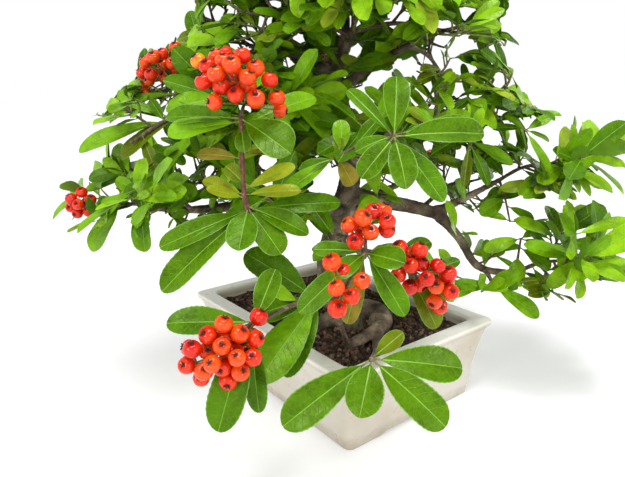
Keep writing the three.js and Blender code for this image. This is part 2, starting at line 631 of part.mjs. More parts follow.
// Grows a mass: its stem, its placed leaves and fruit, then twigs with leaves by the seeded
// rule. A twig or leaf that would leave the mass's space or touch a limb is turned anew, and
// left out when it never fits.
function growMass(mass, seed) {
  const random = seeded(seed);
  const { curve, radiusAt } = mass.stem;
  const bodies = [tapered(curve, radiusAt, 3, STEM_STEPS)];
  const blades = [];

  function addLeaf(base, frame, length, width, corners, spacing) {
    if (!leafFits(mass, base, frame, length, width)) return false;
    const marks = [0.45, 0.7, 0.95].map((share) => leafPoint(base, frame, length, width, share, 0, 0));
    const crowded = (mark) => marks.some((point) => point.distanceTo(mark) < width * spacing);
    if (blades.some(crowded)) return false;
    blades.push(...marks);
    bodies.push(leafBody(base, frame, length, width, corners));
    return true;
  }

  for (const [share, bearing, lift, length, width] of mass.leaves ?? []) {
    for (let attempt = 0; attempt < TRIES; attempt += 1) {
      const size = 1 - 0.12 * attempt;
      const base = curve.getPointAt(share * 0.98);
      const frame = leafFrame(base, heading(bearing, lift), 0);
      if (addLeaf(base, frame, length * size, width * size, 6, PLACED_SPACING)) break;
    }
  }
  for (const head of mass.heads ?? []) growHead(mass, head, bodies);

  const twigs = mass.leaves?.length > PLACED_LEAVES ? 0 : TWIGS;
  const axis = curve.getTangentAt(1);
  const side = new THREE.Vector3().crossVectors(axis, UP).normalize();
  const other = new THREE.Vector3().crossVectors(axis, side);
  for (let k = 0; k < twigs; k += 1) {
    const root = curve.getPointAt(0.98 - 0.5 * k / TWIGS);
    for (let attempt = 0; attempt < TRIES; attempt += 1) {
      const turn = k * GOLDEN_ANGLE + (random() - 0.5) * (0.6 + attempt);
      const open = (50 + 25 * random() + 8 * attempt) * DEG;
      const length = mass.reach * (0.55 + 0.3 * random()) * (1 - 0.12 * attempt);
      const direction = axis.clone().multiplyScalar(Math.cos(open))
        .addScaledVector(side, Math.sin(open) * Math.cos(turn))
        .addScaledVector(other, Math.sin(open) * Math.sin(turn))
        .addScaledVector(UP, 0.15).normalize();
      const tip = root.clone().addScaledVector(direction, length);
      if (!inOwnSpace(mass, tip, TWIG_RADIUS) || !isClear(mass, root, tip, TWIG_RADIUS)) continue;
      bodies.push(straightTwig(root, tip, TWIG_RADIUS, TWIG_RADIUS * 0.75));
      growLeaves(root, tip, direction);
      break;
    }
  }

  function growLeaves(root, tip, direction) {
    const across = new THREE.Vector3().crossVectors(direction, facing(root)).normalize();
    const over = new THREE.Vector3().crossVectors(across, direction);
    const start = random() * Math.PI * 2;
    for (let n = 0; n < LEAVES_ON_TWIG; n += 1) {
      const base = root.clone().lerp(tip, 0.97 - 0.6 * n / LEAVES_ON_TWIG);
      for (let attempt = 0; attempt < TRIES; attempt += 1) {
        const turn = start + n * GOLDEN_ANGLE + (random() - 0.5) * attempt * 1.5;
        const open = (n === 0 ? 22 : 52) * DEG + (random() - 0.5) * 0.4;
        const length = LEAF_LENGTH * (0.85 + 0.3 * random()) * (1 - 0.08 * attempt);
        const leaf = direction.clone().multiplyScalar(Math.cos(open))
          .addScaledVector(across, Math.sin(open) * Math.cos(turn))
          .addScaledVector(over, Math.sin(open) * Math.sin(turn));
        const frame = leafFrame(base, leaf, (random() - 0.5) * LEAF_ROLL);
        if (addLeaf(base, frame, length, LEAF_WIDTH * length / LEAF_LENGTH, 4, LEAF_SPACING)) break;
      }
    }
  }

  const limb = mass.limb === 'root' ? ROOTS[mass.root] : LIMBS[mass.limb];
  const parent = limbBody({ from: 'trunk', ...limb }, GAP);
  const grown = joined(bodies).subtract(parent);
  return mainBody(mass.limb === 'root' ? aboveSoil(grown) : grown);
}

// ---- Assembly ----

const GLAZE = new THREE.MeshStandardMaterial({ color: 0xe6e0d2, roughness: 0.3, metalness: 0 });
const EARTH = new THREE.MeshStandardMaterial({ color: 0x3b2a20, roughness: 0.95, metalness: 0 });
const BARK = new THREE.MeshStandardMaterial({ color: 0x4a3f38, roughness: 0.9, metalness: 0 });
const FOLIAGE = new THREE.MeshStandardMaterial({ color: 0x4f9a14, roughness: 0.4, metalness: 0 });

const firethorn = new THREE.Group();
firethorn.name = 'firethorn_bonsai';
firethorn.add(toMesh('pot', potBody(), GLAZE));
firethorn.add(toMesh('soil', soilBody(), EARTH));
firethorn.add(toMesh('trunk', trunkBody(), BARK));
for (const [name, limb] of Object.entries(LIMBS)) {
  if (name === 'trunk') continue;
  const bough = mainBody(limbBody(limb, 0).subtract(limbBody(LIMBS[limb.from], GAP)));
  firethorn.add(toMesh(name, bough, BARK));
}
MASSES.forEach((mass, index) => {
  firethorn.add(toMesh(mass.name, growMass(mass, mass.seed ?? 1000 + 37 * index), FOLIAGE));
});

export default firethorn;
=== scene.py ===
"""The looks of a firethorn (Pyracantha) bonsai in berry, in a cream glazed rectangular pot.

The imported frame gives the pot, the soil, the limbs and one solid for each mass of foliage. Here
the pot, the soil and the bark get their relief, and every mass grows again by the same rule from
the same limb, with finer twigs, leaves at life size, and berries.

Shapes are worked out in millimetres, in the frame's own axes, and written to meshes in metres.
Places are [side, back, up], for someone who looks over one corner of the pot: to their right,
away from them, and above the underside of the pot.
"""

import functools
import json
import math

import bmesh
import bpy
import numpy as np
from mathutils import Matrix, Vector, noise

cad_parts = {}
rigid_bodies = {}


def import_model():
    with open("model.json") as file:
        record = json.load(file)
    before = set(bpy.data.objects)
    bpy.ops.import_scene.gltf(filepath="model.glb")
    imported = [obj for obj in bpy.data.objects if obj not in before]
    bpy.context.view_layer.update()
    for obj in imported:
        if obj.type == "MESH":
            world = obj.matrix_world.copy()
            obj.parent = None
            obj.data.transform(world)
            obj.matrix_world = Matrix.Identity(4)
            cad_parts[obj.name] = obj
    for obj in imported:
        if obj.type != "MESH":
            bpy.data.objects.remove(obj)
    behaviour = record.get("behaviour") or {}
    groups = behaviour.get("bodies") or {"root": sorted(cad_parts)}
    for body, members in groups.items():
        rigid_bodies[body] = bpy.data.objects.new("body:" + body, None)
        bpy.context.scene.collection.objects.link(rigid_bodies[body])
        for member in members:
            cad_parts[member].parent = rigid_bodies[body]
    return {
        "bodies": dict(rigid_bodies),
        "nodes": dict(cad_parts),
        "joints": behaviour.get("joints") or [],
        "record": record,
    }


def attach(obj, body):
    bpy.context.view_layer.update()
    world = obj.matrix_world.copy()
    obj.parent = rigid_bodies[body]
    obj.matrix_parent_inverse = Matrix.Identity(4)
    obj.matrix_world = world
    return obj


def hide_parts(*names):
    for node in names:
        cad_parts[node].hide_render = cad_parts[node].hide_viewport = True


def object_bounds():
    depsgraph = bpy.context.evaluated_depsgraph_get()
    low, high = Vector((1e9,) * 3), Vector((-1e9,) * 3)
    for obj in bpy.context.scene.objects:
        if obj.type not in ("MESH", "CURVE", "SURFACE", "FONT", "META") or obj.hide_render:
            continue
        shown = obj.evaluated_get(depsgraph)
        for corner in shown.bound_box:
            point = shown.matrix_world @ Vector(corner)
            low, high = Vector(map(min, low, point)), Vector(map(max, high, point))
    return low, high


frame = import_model()
cad_box = [list(corner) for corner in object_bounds()]

MM = 0.001
GOLDEN_ANGLE = math.radians(137.5)
FRONT_TURN = math.radians(53.35)  # from +X to the direction that points away from the viewer
UP = np.array([0.0, 0.0, 1.0])
ACROSS = np.array([math.sin(FRONT_TURN), -math.cos(FRONT_TURN), 0.0])
AWAY = np.array([math.cos(FRONT_TURN), math.sin(FRONT_TURN), 0.0])

# ---- Sizes of the pot and the soil ----

POT_SHORT = 136
POT_LONG = 190
POT_HEIGHT = 57
POT_CORNER = 5
RIM_WIDTH = 12
FOOT_INSET = 11
ARCH_HEIGHT = 2.4
ARCH_DEPTH = 15
ARCH_SHARE = 0.52
SOIL_TOP = 50

# ---- Limbs: the places each one runs through, its radius at the foot and at the tip ----


def tapered(foot, tip, *path):
    """A limb by its radius at the foot and at the tip, and the places that it runs through."""
    return {"foot": foot, "tip": tip, "path": path}


LIMBS = {
    "trunk": tapered(
        13.5, 1.8,
        (13, -19, 44), (12, -18, 54), (4, -13, 70), (-1, -8, 92), (6, -1, 125), (14, 2, 152), (12, 5, 190),
        (6, 8, 222), (12, 10, 254), (13, 8, 280),
    ),
    "left_bough": tapered(
        6.2, 2.2,
        (7, -1, 132), (-22, 0, 139), (-59, -3, 136), (-94, -2, 133), (-127, -4, 135),
    ),
    "left_rising_bough": tapered(5.2, 1.9, (12, 4, 176), (-22, 2, 192), (-60, -6, 197), (-98, -8, 206)),
    "high_left_bough": tapered(4, 1.7, (7, 8, 222), (-20, 6, 236), (-54, 2, 244)),
    "right_bough": tapered(6.6, 4.2, (12, 1, 141), (39, 3, 134), (58, -1, 131), (77, -6, 126)),
    "right_drooping_bough": tapered(3.9, 2.2, (78, -6, 124), (90, -13, 110), (102, -21, 91), (126, -25, 86)),
    "right_outer_bough": tapered(3.6, 1.8, (76, -5, 128), (95, -2, 136), (118, -3, 148)),
    "right_rising_bough": tapered(5, 1.9, (13, 4, 168), (42, 2, 188), (84, -6, 198)),
    "high_right_bough": tapered(4, 1.7, (8, 8, 214), (38, 4, 234), (76, 4, 250)),
    "front_left_bough": tapered(4.6, 2, (10, -1, 128), (-10, -46, 141), (-38, -104, 150)),
    "front_right_bough": tapered(4.4, 2, (3, -3, 108), (10, -60, 122), (12, -118, 130)),
    "front_rising_bough": tapered(4.2, 1.9, (14, 2, 160), (20, -50, 180), (24, -104, 188)),
    "high_front_bough": tapered(3.4, 1.6, (7, 8, 230), (12, -16, 244), (14, -38, 250)),
    "back_left_bough": tapered(4.8, 2, (4, -2, 116), (-20, 34, 134), (-44, 72, 144)),
    "back_bough": tapered(4.8, 2, (14, 2, 152), (8, 44, 160), (4, 90, 160)),
    "back_right_bough": tapered(4.6, 2, (7, -1, 124), (38, 34, 134), (64, 74, 136)),
    "high_back_bough": tapered(3.8, 1.7, (9, 7, 204), (8, 36, 222), (4, 64, 232)),
}

# Roots that show above the soil.
ROOTS = {
    "front_root": tapered(8, 3.2, (12, -19, 62), (30, -22, 60), (34, -38, 58), (22, -52, 55), (5, -60, 51)),
    "forked_root": tapered(5, 2.6, (30, -38, 58), (28, -52, 55), (25, -66, 51)),
    "left_root": tapered(8, 3, (12, -18, 60), (-6, -24, 54), (-24, -30, 46)),
    "back_root": tapered(8, 3, (12, -18, 60), (2, 2, 54), (-8, 20, 46)),
    "right_root": tapered(8, 3, (12, -18, 60), (30, -6, 54), (46, 4, 46)),
}

# ---- Masses of foliage ----

MASSES = {"front": [], "left": [], "top": [], "right": [], "back": []}


def add_mass(region, name, limb, along, centre, reach, **own):
    """A mass grows from one stem that leaves its limb at a share of the limb's length and ends at the
    middle of the mass. Reach is how far its twigs spread. Of its own it may have:
    balls that mark out its space, (side, back, up, radius), where one of its reach won't do;
    bend, a place that its stem passes through;
    twigs, how many more twigs it bears;
    leaves with a place of their own, (share along the stem, where the tip is seen, how much nearer to
    the camera the tip is than the foot, width, tint);
    sprigs, twigs with such leaves, (share along the stem, where the tip is seen, nearer, leaves);
    heads of fruit, (shape, middle, colours).
    Where a tip is seen is its (x, y) in pixels of the camera's picture."""
    mass = {"name": name, "limb": limb, "along": along, "centre": centre, "reach": reach}
    MASSES[region].append({**mass, **own})


add_mass(
    "front", "front_low_spray", "front_root", 0.96, (-45, -163, 112), 36, twigs=0, bend=(-10, -113, 105),
    balls=[(-45, -163, 112, 36), (-24, -134, 114, 32), (-78, -164, 108, 32)],
    leaves=[
        (0.62, (246, 250), 0, 18, "deep"), (0.6, (257, 379), 34, 20, "mid"),
        (0.58, (285, 373), 22, 14, "deep"), (0.97, (164, 320), 0, 14, "deep"),
        (0.98, (275, 268), -8, 12, "rich"), (1, (214, 433), 12, 17, "deep"), (1, (258, 416), 2, 11, "deep"),
        (0.67, (256, 312), 24, 13, "rich"), (0.73, (262, 284), 6, 9, "bright"),
    ],
    heads=[("low_head", (-55, -164, 103), "warm")],
)
add_mass(
    "front", "front_whorl", "forked_root", 0.96, (8, -194, 110), 34, twigs=0, bend=(17, -128, 79),
    balls=[(8, -196, 106, 28), (14, -170, 84, 28)],
    leaves=[
        (1, (281, 424), 10, 15, "rich"), (1, (360, 416), 14, 15, "rich"), (1, (449, 424), 13, 15, "rich"),
        (1, (466, 365), 1, 15, "rich"), (0.9, (403, 332), 0, 8, "olive"),
    ],
)
add_mass(
    "front", "front_fruit_spray", "front_right_bough", 1, (10, -150, 141), 30, twigs=0,
    balls=[(6, -150, 146, 25), (-4, -168, 130, 26), (-14, -144, 142, 27), (14, -152, 120, 24)],
    leaves=[
        (1, (338, 273), 14, 9, "deep"), (1, (403, 260), 14, 13, "deep"), (1, (406, 312), 15, 12, "deep"),
        (0.9, (314, 246), 0, 8, "deep"), (0.85, (297, 311), 4, 12, "deep"),
        (0.95, (346, 326), -6, 10, "brown"),
    ],
    heads=[("upper_head", (11, -146, 153), "warm"), ("middle_head", (0, -164, 130), "warm")],
)
add_mass(
    "front", "front_fruit_twig", "front_right_bough", 0.82, (38, -132, 122), 28, twigs=0,
    balls=[(38, -136, 122, 28), (56, -132, 108, 26)],
    leaves=[
        (1, (457, 281), 0, 6, "young"), (1, (455, 300), 4, 7, "young"), (1, (461, 258), -2, 7, "deep"),
        (0.8, (441, 327), 6, 12, "olive"), (0.6, (431, 240), -5, 10, "deep"),
    ],
    heads=[("right_head", (34, -137, 132), "red"), ("hanging_head", (48, -134, 119), "red")],
)
add_mass(
    "front", "front_left_shoot", "front_left_bough", 1, (-47, -122, 203), 36,
    twigs=0, bend=(-46, -125, 159),
    balls=[(-46, -128, 158, 38), (-47, -122, 200, 36), (-82, -142, 142, 34), (-14, -118, 160, 26)],
    leaves=[
        (0.31, (157, 284), 19, 15, "rich"), (0.33, (158, 245), 10, 14, "rich"),
        (0.35, (238, 248), 14, 16, "deep"), (0.35, (280, 249), 12, 15, "rich"),
        (0.37, (309, 229), 4, 12, "rich"), (0.33, (342, 197), -8, 11, "deep"),
        (0.46, (203, 177), 2, 8, "yellow"), (0.44, (207, 188), 8, 7, "yellow"),
        (0.5, (294, 163), 0, 8, "yellow"), (0.46, (299, 186), 4, 8, "yellow"),
        (0.55, (228, 166), 6, 8, "olive"), (0.72, (196, 150), 0, 8, "brown"),
        (0.76, (290, 150), -2, 6, "brown"), (1, (290, 149), 12, 18, "rich"),
        (1, (163, 112), -4, 13, "deep"), (0.98, (166, 131), 1, 11, "mid"),
        (0.95, (316, 90), -13, 12, "mid"), (0.93, (244, 150), 8, 8, "rich"),
    ],
    heads=[("shoot_head", (-46, -122, 214), "warm")],
)
add_mass(
    "front", "front_right_whorl", "front_rising_bough", 1, (25, -134, 192), 36, twigs=0,
    leaves=[
        (1, (398, 71), -5, 13, "rich"), (1, (485, 126), 8, 14, "rich"), (1, (361, 175), 8, 12, "rich"),
        (1, (408, 182), 14, 13, "rich"), (0.95, (446, 198), 11, 12, "deep"),
        (0.9, (348, 86), -10, 8, "deep"), (0.9, (355, 148), 0, 8, "deep"),
        (0.85, (483, 111), -8, 9, "deep"), (0.8, (382, 112), -12, 10, "deep"),
    ],
    sprigs=[
        (0, (334, 159), 5, [
            (1, (299, 168), 3, 7, "deep"), (1, (278, 194), 6, 9, "mid"), (0.95, (354, 184), 2, 10, "brown"),
            (0.9, (338, 137), 0, 6, "olive"), (0.6, (379, 117), 0, 8, "deep"),
            (0.85, (341, 118), 0, 9, "mid"),
        ]),
    ],
)

add_mass(
    "left", "left_tip", "left_bough", 1, (-150, -8, 139), 26, twigs=3,
    leaves=[
        (0.35, (141, 250), 10, 15, "mid"), (0.95, (86, 248), 6, 19, "mid"), (0.5, (112, 207), 4, 9, "deep"),
    ],
    sprigs=[
        (0.1, (131, 168), 8, [
            (1, (88, 178), 8, 14, "deep"), (0.85, (84, 188), 4, 8, "mid"),
            (0.8, (119, 192), 4, 10, "yellow"), (1, (121, 151), 2, 6, "bright"),
            (0.45, (113, 205), 6, 8, "deep"),
        ]),
    ],
    heads=[("small_head", (-172, -14, 143), "red")],
)
add_mass(
    "left", "left_front", "left_bough", 0.8, (-112, -34, 150), 32, twigs=4,
    leaves=[(0, (180, 225), 4, 11, "olive"), (0.25, (205, 192), 2, 8, "deep")],
    sprigs=[
        (0.3, (170, 150), 4, [
            (0.5, (147, 176), 3, 6, "yellow"), (0.45, (145, 193), 6, 8, "mid"),
            (0.5, (194, 194), 6, 10, "rich"), (0.85, (192, 143), 4, 10, "deep"),
            (0.75, (152, 146), 4, 10, "mid"), (1, (185, 164), 2, 7, "mid"),
        ]),
    ],
)
add_mass("left", "left_back", "left_bough", 0.66, (-104, 40, 150), 40)
add_mass("left", "left_inner", "left_bough", 0.42, (-62, -24, 164), 32)
add_mass(
    "left", "left_fruit_spray", "left_rising_bough", 1, (-108, 4, 220), 34,
    leaves=[(0.5, (122, 98), 4, 6, "mid"), (0.4, (196, 110), 4, 8, "mid")],
    heads=[("arched_head", (-107, 0, 230), "warm")],
)
add_mass(
    "left", "left_point", "left_rising_bough", 0.86, (-130, -32, 184), 32, twigs=4,
    leaves=[
        (0.5, (73, 143), 6, 14, "mid"), (0.4, (117, 151), 14, 14, "olive"), (0.5, (118, 97), -4, 9, "dark"),
        (0.85, (153, 168), 6, 8, "olive"), (0.55, (150, 99), 4, 7, "deep"), (0.45, (120, 98), 6, 6, "mid"),
    ],
    sprigs=[
        (0, (218, 134), 12, [
            (1, (195, 145), 4, 7, "bright"), (0.7, (195, 113), 3, 7, "dark"),
            (0.95, (194, 128), 6, 6, "dark"), (1, (236, 150), 2, 7, "deep"),
        ]),
    ],
)
add_mass(
    "left", "high_left", "high_left_bough", 1, (-82, 2, 262), 32, twigs=7,
    sprigs=[
        (0.05, (200, 48), 6, [
            (1, (189, 10), 4, 11, "deep"), (0.9, (213, 24), 3, 10, "mid"), (0.85, (174, 46), 4, 6, "mid"),
            (1, (183, 62), 4, 7, "mid"), (0.7, (226, 66), 3, 8, "bright"),
        ]),
    ],
)
add_mass("left", "high_left_back", "high_left_bough", 0.7, (-66, 56, 238), 40)
add_mass("left", "inner_left_front", "left_rising_bough", 0.45, (-44, -54, 208), 36)

add_mass("top", "top", "trunk", 1, (12, 6, 303), 30)
add_mass("top", "top_left", "trunk", 0.9, (-40, 6, 284), 34)
add_mass("top", "top_right", "trunk", 0.93, (62, 8, 282), 34)
add_mass("top", "top_front", "high_front_bough", 1, (18, -62, 270), 36)
add_mass("top", "top_back", "trunk", 0.86, (16, 62, 282), 38, heads=[("upper_head", (16, 92, 288), "red")])
add_mass("top", "upper_front_left", "high_front_bough", 0.7, (-42, -46, 258), 34)
add_mass("top", "upper_front_right", "high_front_bough", 0.85, (66, -46, 246), 34)

add_mass(
    "right", "high_right", "high_right_bough", 1, (112, 6, 250), 34, twigs=6,
    leaves=[
        (0.5, (506, 5), 4, 11, "mid"), (0.35, (491, 8), -4, 8, "deep"), (1, (522, 41), 0, 8, "dark"),
        (0.9, (512, 73), 0, 7, "dark"),
    ],
)
add_mass(
    "right", "right_upper", "right_rising_bough", 1, (118, -18, 206), 36, twigs=7,
    leaves=[(0.4, (525, 107), 4, 9, "deep"), (0.3, (464, 63), 4, 7, "mid")],
    sprigs=[
        (0.1, (470, 145), 14, [
            (0.9, (514, 163), 6, 9, "mid"), (0.75, (432, 152), 4, 6, "deep"),
            (0.95, (465, 186), 5, 7, "olive"), (1, (492, 183), 4, 9, "deep"),
            (0.65, (501, 116), 2, 6, "deep"),
        ]),
        (0.8, (526, 131), 6, [
            (1, (506, 115), 3, 8, "mid"), (1, (551, 115), 3, 7, "mid"), (0.95, (494, 126), 3, 6, "deep"),
            (1, (552, 172), 5, 9, "mid"), (1, (552, 138), 0, 5, "deep"),
        ]),
    ],
)
add_mass(
    "right", "right_inner", "right_rising_bough", 0.6, (66, -52, 192), 34,
    leaves=[
        (0.75, (412, 87), 6, 7, "bright"), (0.8, (453, 78), 6, 8, "mid"), (0.9, (470, 97), 4, 6, "deep"),
        (0, (481, 110), 12, 7, "mid"),
    ],
)
add_mass(
    "right", "right_tip", "right_outer_bough", 1, (150, -2, 160), 36, twigs=5,
    leaves=[(0.15, (494, 160), 2, 9, "deep"), (0.55, (552, 190), 4, 8, "mid")],
    sprigs=[
        (0.05, (510, 222), 8, [
            (0.45, (482, 213), 6, 12, "mid"), (1, (552, 226), 4, 7, "mid"), (0.3, (548, 192), 4, 8, "deep"),
            (1, (488, 212), 2, 6, "bright"), (0.65, (536, 219), 3, 8, "mid"),
        ]),
    ],
)
add_mass(
    "right", "right_low_tip", "right_drooping_bough", 1, (158, -28, 96), 34, twigs=4,
    leaves=[(0.4, (550, 297), 5, 9, "mid"), (0.15, (552, 286), 3, 6, "deep")],
    sprigs=[
        (0.05, (521, 238), 6, [
            (1, (487, 247), 7, 10, "bright"), (0.75, (552, 268), 6, 14, "mid"),
            (0.5, (516, 281), 8, 13, "bright"), (1, (552, 250), 2, 8, "deep"), (1, (538, 228), 2, 7, "mid"),
        ]),
    ],
)
add_mass(
    "right", "right_hanging", "right_drooping_bough", 0.7, (108, -38, 82), 24, twigs=2,
    leaves=[
        (1, (454, 285), 9, 10, "mid"), (1, (541, 315), 11, 13, "mid"), (0, (489, 240), 3, 8, "mid"),
        (0, (472, 250), 2, 8, "deep"),
    ],
)
add_mass(
    "right", "right_back", "right_bough", 0.8, (112, 46, 140), 40,
    leaves=[(0.15, (469, 254), 16, 10, "deep")],
)
add_mass("right", "right_back_upper", "high_right_bough", 0.7, (94, 62, 218), 40)

add_mass(
    "back", "back_left_low", "back_left_bough", 1, (-72, 104, 146), 40,
    heads=[("low_head", (-84, 132, 150), "warm")],
)
add_mass(
    "back", "back_low", "back_bough", 1, (4, 128, 156), 40,
    heads=[("arched_head", (10, 158, 166), "warm")],
)
add_mass(
    "back", "back_right_low", "back_right_bough", 1, (84, 106, 142), 40,
    heads=[("right_head", (92, 130, 144), "red")],
)
add_mass(
    "back", "back_left_upper", "high_back_bough", 0.6, (-56, 98, 212), 38,
    heads=[("upper_head", (-66, 124, 218), "warm")],
)
add_mass(
    "back", "back_upper", "high_back_bough", 1, (8, 104, 234), 38,
    heads=[("shoot_head", (2, 130, 240), "warm")],
)

# A head as its berries, each (to the right, up) from the head's middle.
HEADS = {
    "low_head": [
        (2, 15), (16, 14), (-5, 10), (9, 10), (1, 7), (-11, 5), (14, 7), (-15, 2), (-7, 2), (8, 2),
        (-14, -3), (-8, -4), (0, -4), (-16, -6), (8, -6), (13, 0), (-10, -11), (2, -12), (3, -17), (-3, 0),
    ],
    "shoot_head": [
        (-18, 14), (-15, 13), (-11, 16), (-7, 16), (-6, 13), (-3, 12), (3, 15), (8, 10), (13, 6), (5, 6),
        (-16, 5), (-8, 8), (-8, 4), (-1, -1), (-11, -4), (8, -3), (17, -3), (18, -9),
    ],
    "upper_head": [(-8, 2), (-2, 6), (3, 7), (7, 6), (8, 4), (-6, -5), (1, -1), (9, -1)],
    "middle_head": [(-6, 12), (-4, 2), (6, 3), (1, -2), (-3, -6)],
    "right_head": [(-7, 9), (2, 8), (-1, 1), (4, 0), (9, 0), (5, -4), (-2, -10), (4, -11), (-7, -5)],
    "hanging_head": [(3, 8), (4, -1), (-3, -7), (1, -12), (-3, 2)],
    "arched_head": [
        (11, 8), (7, 10), (6, 7), (3, 6), (-1, 7), (-5, 7), (-8, 7), (-13, 4), (-16, 3), (-18, -1),
        (-11, -3), (-19, -7), (-14, -7), (-19, -13),
    ],
    "small_head": [(0, 0), (-6, 3), (6, 2), (1, 7), (-3, -6), (5, -5), (-8, -3)],
}

# ---- The camera, and the sky that it sees through and beside the crown ----

CAMERA_SPOT = (-0.2482, -0.3099, 0.2145)
CAMERA_PITCH = math.radians(14.93)  # down
CAMERA_ROLL = math.radians(-1.49)
PICTURE = (625, 477)  # pixels
FOCAL_PIXELS = 560
SENSOR_WIDTH = 36
GAP_MARGIN = 0.5  # pixels, between a gap and the points of a leaf that are tested

# Each gap is (x, y, reach) in pixels of the camera's picture. The ones before the trunk show bark,
# the others the pale surroundings.
SKY = {
    "before_the_trunk": [(345, 206, 6), (344, 222, 6), (342, 238, 5)],
    "beyond_the_left": [
        (66, 120, 12), (82, 124, 6), (100, 20, 50), (152, 4, 42), (85, 80, 32), (118, 66, 18), (213, 15, 8),
        (95, 152, 8), (82, 160, 8), (81, 172, 4), (120, 228, 11), (120, 215, 4), (160, 228, 8),
        (160, 216, 6), (155, 241, 8), (110, 272, 22),
    ],
    "beyond_the_right": [
        (540, 20, 32), (547, 70, 33), (600, 60, 60), (548, 98, 11), (512, 25, 9), (505, 57, 6),
        (500, 82, 6), (536, 96, 8), (500, 111, 4), (510, 320, 18), (480, 302, 9), (540, 332, 14),
    ],
    "upper_left": [
        (248, 44, 6), (235, 46, 4), (265, 23, 5), (250, 30, 3), (230, 11, 4), (299, 39, 5), (289, 63, 5),
        (274, 3, 4),
    ],
    "upper_middle": [
        (344, 31, 6), (351, 24, 4), (397, 12, 6), (404, 19, 4), (393, 25, 4), (356, 52, 5), (375, 81, 6),
        (405, 68, 6), (414, 69, 4),
    ],
    "upper_right": [
        (442, 40, 6), (433, 53, 6), (462, 41, 4), (455, 50, 4), (446, 29, 6), (440, 27, 4), (466, 15, 6),
        (464, 68, 5), (459, 89, 6), (429, 86, 4), (417, 99, 5), (462, 105, 4), (435, 107, 3),
    ],
    "left": [
        (158, 82, 4), (152, 110, 7), (196, 125, 7), (190, 124, 5), (138, 153, 6), (112, 189, 6),
        (184, 164, 6), (188, 172, 4), (195, 163, 4), (210, 171, 4), (201, 187, 4), (202, 206, 5),
        (226, 206, 4), (193, 214, 4), (132, 206, 4),
    ],
    "middle": [
        (328, 187, 8), (316, 190, 5), (329, 208, 4), (320, 165, 4), (265, 161, 5), (264, 168, 4),
        (268, 183, 4), (297, 196, 3), (301, 241, 12), (290, 240, 6), (311, 238, 7), (377, 242, 4),
        (388, 212, 5), (376, 147, 4), (356, 104, 4), (364, 107, 4), (248, 107, 4),
    ],
    "right": [
        (434, 243, 8), (423, 229, 17), (405, 221, 12), (390, 208, 5), (456, 257, 4), (465, 271, 8),
        (491, 268, 9), (518, 257, 5), (527, 270, 7), (473, 220, 8), (500, 227, 7), (486, 231, 4),
        (517, 213, 5), (536, 208, 6), (523, 203, 4), (506, 174, 9), (528, 168, 5), (479, 186, 10),
        (474, 198, 4), (452, 175, 5), (440, 169, 4), (462, 154, 5), (428, 148, 4), (490, 137, 9),
        (512, 132, 5), (536, 148, 9), (548, 158, 6), (392, 183, 7), (412, 190, 11), (428, 197, 10),
        (441, 203, 7),
    ],
}

# ---- The growth rule ----

TAPER_POWER = 0.85  # how evenly a limb tapers from foot to tip
FLARE = 4  # added to the radius of a limb that stands in the soil
FLARE_SHARE = 0.035  # of the limb's length
TWIG_RADIUS = 1.3
LIMB_MARGIN = 0.8  # kept between a leaf or twig and every limb
RIM_MARGIN = 2  # kept above the pot's rim
BORDER_SLACK = 7  # how far leaves of two masses may mingle at their border
BOX_SLACK = 3  # how far a leaf may reach past the frame's box
TRIES = 10  # for each twig and leaf to find a free place
FACING_TRIES = 6  # the first of them, in which a leaf has to show its face to the front or the back
LEAST_FACE = 0.34  # of its area
TWIGS = 8  # of a mass that gives no number of its own
SIDE_TWIGS = 3  # of a twig
SIDE_TWIG_LENGTH = (13, 26)
TIP_LEAVES = 6  # round the end of each twig
LEAF_LENGTH = (27, 46)
LEAF_SLIMNESS = (0.29, 0.4)  # width over length
LEAF_THICK = 0.4
LEAF_SPACING = 0.3  # least distance between the midribs of two leaves, in leaf widths
PLACED_SPACING = 0.1
SIDEWAYS = 0.45  # how much leaves at the sides face that side
PLACED_SIDEWAYS = 0.15
PETIOLE_SHARE = 0.11  # of a leaf's length
RIB_HALF = 0.28  # half the width of the midrib
BERRY_RADIUS = 4.15
DOME = 0.7  # how far a head of fruit bulges to the front, of its reach
FEW_BERRIES = 9  # a head with no more of them has hardly any behind
HANG = 8  # how far below its foot the leaves of a mass may hang
SPUR_STEP = 13  # between two spurs on a limb
SPUR_LENGTH = (8, 17)
SPUR_LEAVES = 4
BOW = 0.08  # how far a stem bows upwards, of its length
STEM_END = 0.98  # of a stem or sprig, the place that a share of 1 means for a placed leaf or sprig
LAST_SHARE = 0.99  # of a stem or twig, where its last twig or leaf sits
TWIGGY_SHARE = 0.62  # of a stem, counted from its end, bears twigs
END_OPENING = (32, 74)  # degrees between a stem and the twig at its end
OPENING = (48, 74)  # the same for its other twigs
SIDE_OPENING = (38, 62)
SPUR_OPENING = (60, 85)
END_LEAF_OPENING = 24
LEAF_OPENING = 62
LEAF_SAG = 0.1  # how far a leaf's tip sinks, of its length
LEAF_STEP = 3.2  # between two leaves of a twig, on average
MOST_LEAFY = 0.8  # of a twig bears leaves
KEPT_TINT = 0.72  # of the leaves of a twig have the twig's own tint
CROWN_SIDE, CROWN_BACK = 8, 50  # the crown's middle, which leaves turn away from
FRUIT_AIR = (0.6, 1.4, 2.4, 3.6)  # where balls of open air stand before a head, in its reaches
MASS_SEED = 500
SPUR_SEED = 400


def unit(vector):
    return vector / np.linalg.norm(vector)


def place(side, back, up):
    return side * ACROSS + back * AWAY + up * UP


def facing(point, sideways=SIDEWAYS):
    """Leaves turn their faces up and outwards, those at the sides a little to the front or back."""
    out = place(sideways * (point @ ACROSS - CROWN_SIDE), point @ AWAY - CROWN_BACK, 0)
    return unit(0.75 * unit(out) + 0.66 * UP)


